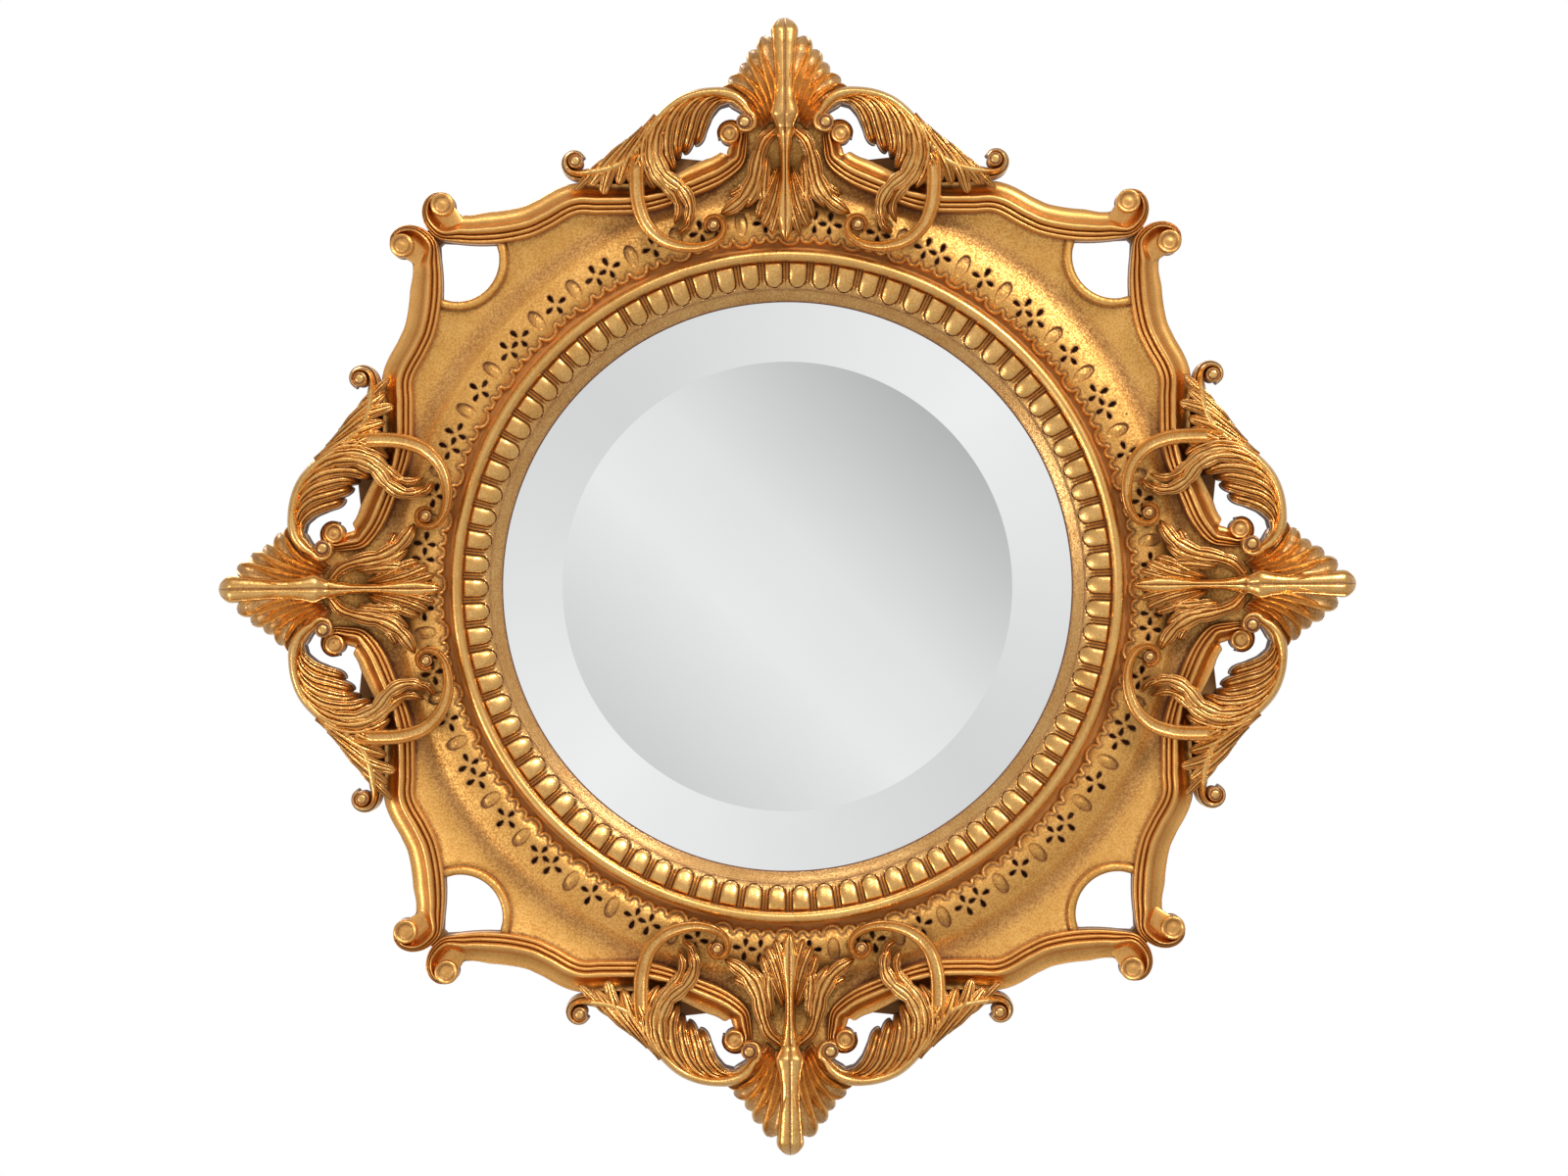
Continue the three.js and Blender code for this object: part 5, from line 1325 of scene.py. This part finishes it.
def wire(path, radius, sides=12):
    """A closed round wire along a flat path of [x, y, h] corners."""
    path = np.asarray(path, float)
    run = np.roll(path, -1, 0) - np.roll(path, 1, 0)
    run /= np.linalg.norm(run, axis=1)[:, None]
    across = np.stack([run[:, 1], -run[:, 0], np.zeros(len(run))], 1)
    angle = np.linspace(0, 2 * np.pi, sides, endpoint=False)
    rings = (path[:, None] + radius * np.cos(angle)[None, :, None] * across[:, None]
             + radius * np.sin(angle)[None, :, None] * np.array([0, 0, 1]))
    corners = rings.reshape(-1, 3)
    triangles = grid_triangles(len(path) + 1, sides) % len(corners)
    return corners, outward(corners, triangles), np.zeros(len(corners))


print("fittings lie against the height", PLATE_FACE, "mm")

# %% [markdown]
# Four turn buttons of pressed brass hold the disc. Each has round ends, and turns on a
# screw near its outer end. Every screw's slot stands at another angle.

# %% Turn buttons
BUTTON_AT, BUTTON_R, BUTTON_REACH, BUTTON_THICK = 255, 7, 28, 1.6

half_round = np.linspace(0, np.pi, 15)
for i, (x, y) in enumerate([(0, BUTTON_AT), (BUTTON_AT, 0), (0, -BUTTON_AT), (-BUTTON_AT, 0)]):
    pivot = np.array([x, y])
    out = pivot / BUTTON_AT
    side = np.array([-out[1], out[0]])
    bulges = [BUTTON_R * (np.sin(a) * out + np.cos(a) * side) for a in half_round]
    stadium = [pivot + bulge for bulge in bulges]
    stadium += [pivot - BUTTON_REACH * out - bulge for bulge in bulges]
    make_piece("brass_button_%d" % (i + 1),
               round_plate(stadium, PLATE_FACE - BUTTON_THICK, PLATE_FACE, 0.45),
               "pressed_brass", body="button_%d" % (i + 1),
               replaces=["turn_button_%d" % (i + 1)], sharp=60)
    make_piece("slotted_button_screw_%d" % (i + 1),
               screw((x, y), PLATE_FACE - BUTTON_THICK - SEAT, 0.6 + 1.1 * i), "plated_steel",
               replaces=["button_screw_%d" % (i + 1)], sharp=30)
print("a button reaches", BUTTON_REACH + BUTTON_R, "mm in from its screw")

# %% [markdown]
# A hanger is a steel strap whose end is rolled into a loop, held by one screw, and a D ring
# of wire that swings in the loop. The ring is a straight bar, two small corners and a bow.

# %% Hangers
HANGER_X, HANGER_Y, LOOP_HEIGHT = 283, 110, PLATE_FACE - 2.5
STRAP_THICK, WIRE_R = 1.2, 1.1

strap = [(-9, -40.8), (9, -40.8), (9, -8), (6.5, -0.5), (-6.5, -0.5), (-9, -8)]
rolled, roll_faces, plain = turn([[1.5, -6.2], [1.6, -6.4], [2.3, -6.5], [2.5, -6.3],
                                  [2.5, 6.3], [2.3, 6.5], [1.6, 6.4], [1.5, 6.2]], 48)
corner = np.linspace(np.pi / 2, 0, 6)
bow = np.linspace(0.08, np.pi - 0.08, 60)
ring = [(s, 0) for s in np.linspace(-8.6, 8.6, 14)]
ring += [(8.9 + 1.9 * np.cos(a), -1.9 + 1.9 * np.sin(a)) for a in corner]
ring += [(10.8 * np.cos(a), -2.2 - 15.8 * np.sin(a)) for a in bow]
ring += [(-8.9 - 1.9 * np.cos(a), -1.9 + 1.9 * np.sin(a)) for a in corner[::-1]]
for name, x in (("left", -HANGER_X), ("right", HANGER_X)):
    plate = round_plate([(x + a, HANGER_Y + b) for a, b in strap], PLATE_FACE - STRAP_THICK,
                        PLATE_FACE, 0.35)
    loop = rolled[:, [2, 0, 1]] + [x, HANGER_Y, LOOP_HEIGHT]
    make_piece("rolled_strap_" + name, gather(plate, (loop, roll_faces, plain)), "plated_steel",
               replaces=["hanger_strap_" + name], sharp=40)
    make_piece("slotted_hanger_screw_" + name,
               screw((x, HANGER_Y - 33), PLATE_FACE - STRAP_THICK - SEAT, 0.9), "plated_steel",
               replaces=["hanger_screw_" + name], sharp=30)
    make_piece("wire_ring_" + name,
               wire([(x + a, HANGER_Y + b, LOOP_HEIGHT) for a, b in ring], WIRE_R),
               "plated_steel", body="ring_" + name, replaces=["hanger_ring_" + name],
               sharp=80)
print("a ring's wire is", 2 * WIRE_R, "mm thick")

# %% [markdown]
# Four round felt pads keep the frame off the wall, so that the fittings have their gap.

# %% Pads
PAD_OUT, PAD_R = 12, 8.8

for i, angle in enumerate((45, 135, 225, 315)):
    centre = np.array(place(angle, PAD_OUT))
    circle = [centre + PAD_R * np.array([np.sin(a), np.cos(a)])
              for a in np.linspace(0, 2 * np.pi, 40, endpoint=False)]
    make_piece("felt_pad_%d" % (i + 1), round_plate(circle, 0, PLATE_FACE, 1.2), "felt",
               replaces=["bumper_%d" % (i + 1)], sharp=60)

# %% [markdown]
# ## Stage and light
# A pale floor lies far below. Nothing stands behind the mirror, so that it can be looked at
# from all sides.

# %% Floor
FLOOR_HALF, FLOOR_Z = 6, -1.3


def stage_plane(name, half, height):
    """A level square sheet in pale paint. Mirror rays pass through it to the studio."""
    mesh = bpy.data.meshes.new(name)
    mesh.from_pydata([(-half, -half, height), (half, -half, height), (half, half, height),
                      (-half, half, height)], [], [(0, 1, 2, 3)])
    material = bpy.data.materials.new(name)
    material.use_nodes = True
    tree = material.node_tree
    shader = tree.nodes["Principled BSDF"]
    grain = node(tree, "ShaderNodeTexNoise", {"Scale": 6.0}).outputs["Fac"]
    paint = mixed(tree, grain, (0.80, 0.80, 0.80, 1), (0.84, 0.84, 0.84, 1))
    tree.links.new(paint, shader.inputs["Base Color"])
    shader.inputs["Roughness"].default_value = 0.8
    path = node(tree, "ShaderNodeLightPath")
    clear = node(tree, "ShaderNodeBsdfTransparent")
    both = node(tree, "ShaderNodeMixShader", {0: path.outputs["Is Glossy Ray"],
                                              1: shader.outputs[0], 2: clear.outputs[0]})
    tree.links.new(both.outputs[0], tree.nodes["Material Output"].inputs["Surface"])
    mesh.materials.append(material)
    made = bpy.data.objects.new(name, mesh)
    bpy.context.scene.collection.objects.link(made)


stage_plane("floor", FLOOR_HALF, FLOOR_Z)
print("the floor lies at", FLOOR_Z, "m")

# %% [markdown]
# The lamps are large, soft and white: one high on the right, one low on the left, a wide one
# in front and one behind, for the back.

# %% Lamps
def lamp(name, spot, size, power):
    """A square soft lamp at spot that faces the middle of the mirror."""
    data = bpy.data.lights.new(name, "AREA")
    data.size, data.energy = size, power
    made = bpy.data.objects.new(name, data)
    bpy.context.scene.collection.objects.link(made)
    made.location = spot
    made.rotation_euler = (-Vector(spot)).to_track_quat("-Z", "Y").to_euler()


lamp("key", (1.6, -2.2, 2.2), 0.6, 62)
lamp("fill", (-2.4, -1.3, -0.9), 0.9, 22)
lamp("front", (-0.5, -2.8, 3.1), 1.4, 30)
lamp("behind", (-1.2, 2.6, 1.8), 1.2, 26)
print("lamps:", ", ".join(data.name for data in bpy.data.lights))

# %% [markdown]
# The world is plain white to the camera. Metal and glass see a grey studio in it, with the
# soft gradients that a photographer's screens give: one gradient for rays that leave near
# the mirror's axis, a second one outside it, and a plain grey far out.

# %% The world
COS_45 = 0.7071

world = bpy.data.worlds.new("world")
bpy.context.scene.world = world
world.use_nodes = True
sky = world.node_tree
direction = node(sky, "ShaderNodeTexCoord").outputs["Generated"]
axes = node(sky, "ShaderNodeSeparateXYZ", {"Vector": direction}).outputs
# lean_a says how far a ray leans up and right, lean_b up and left, and aside in all
lean_a = arithmetic(sky, "MULTIPLY", arithmetic(sky, "ADD", axes["X"], axes["Z"]), COS_45)
lean_b = arithmetic(sky, "MULTIPLY", arithmetic(sky, "SUBTRACT", axes["Z"], axes["X"]), COS_45)
aside = arithmetic(sky, "SQRT", arithmetic(
    sky, "ADD", arithmetic(sky, "MULTIPLY", lean_a, lean_a),
    arithmetic(sky, "MULTIPLY", lean_b, lean_b)))
near_axis = ramp(sky, arithmetic(sky, "MULTIPLY_ADD", lean_a, 1.0, 0.5),
                 [(0.14, 0.60), (0.42, 0.84), (0.56, 0.78), (0.84, 0.45)])
ratio = arithmetic(
    sky, "DIVIDE", arithmetic(sky, "SUBTRACT", arithmetic(sky, "ABSOLUTE", lean_a),
                              arithmetic(sky, "ABSOLUTE", lean_b)),
    arithmetic(sky, "MAXIMUM", aside, 0.01))
off_axis = ramp(sky, arithmetic(sky, "MULTIPLY_ADD", ratio, 0.5, 0.5), [(0.0, 0.68), (1.0, 0.88)])
outside = ramp(sky, aside, [(0.375, 0.0), (0.395, 1.0)])
far_out = ramp(sky, aside, [(0.5, 0.0), (0.8, 1.0)])
studio = mixed(sky, outside, near_axis, off_axis)
studio = mixed(sky, far_out, studio, (0.56, 0.56, 0.545, 1))
path = node(sky, "ShaderNodeLightPath").outputs
glossy = node(sky, "ShaderNodeBackground", {"Color": studio, "Strength": 1.0})
plain = node(sky, "ShaderNodeBackground", {"Color": (1, 1, 1, 1), "Strength": 0.55})
white = node(sky, "ShaderNodeBackground", {"Color": (1, 1, 1, 1), "Strength": 1.0})
rest = node(sky, "ShaderNodeMixShader", {0: path["Is Glossy Ray"], 1: plain.outputs[0],
                                         2: glossy.outputs[0]})
every = node(sky, "ShaderNodeMixShader", {0: path["Is Camera Ray"], 1: rest.outputs[0],
                                          2: white.outputs[0]})
sky.links.new(every.outputs[0], sky.nodes["World Output"].inputs["Surface"])
bpy.context.scene.view_settings.view_transform = "Standard"
print("the world has", len(sky.nodes), "nodes")
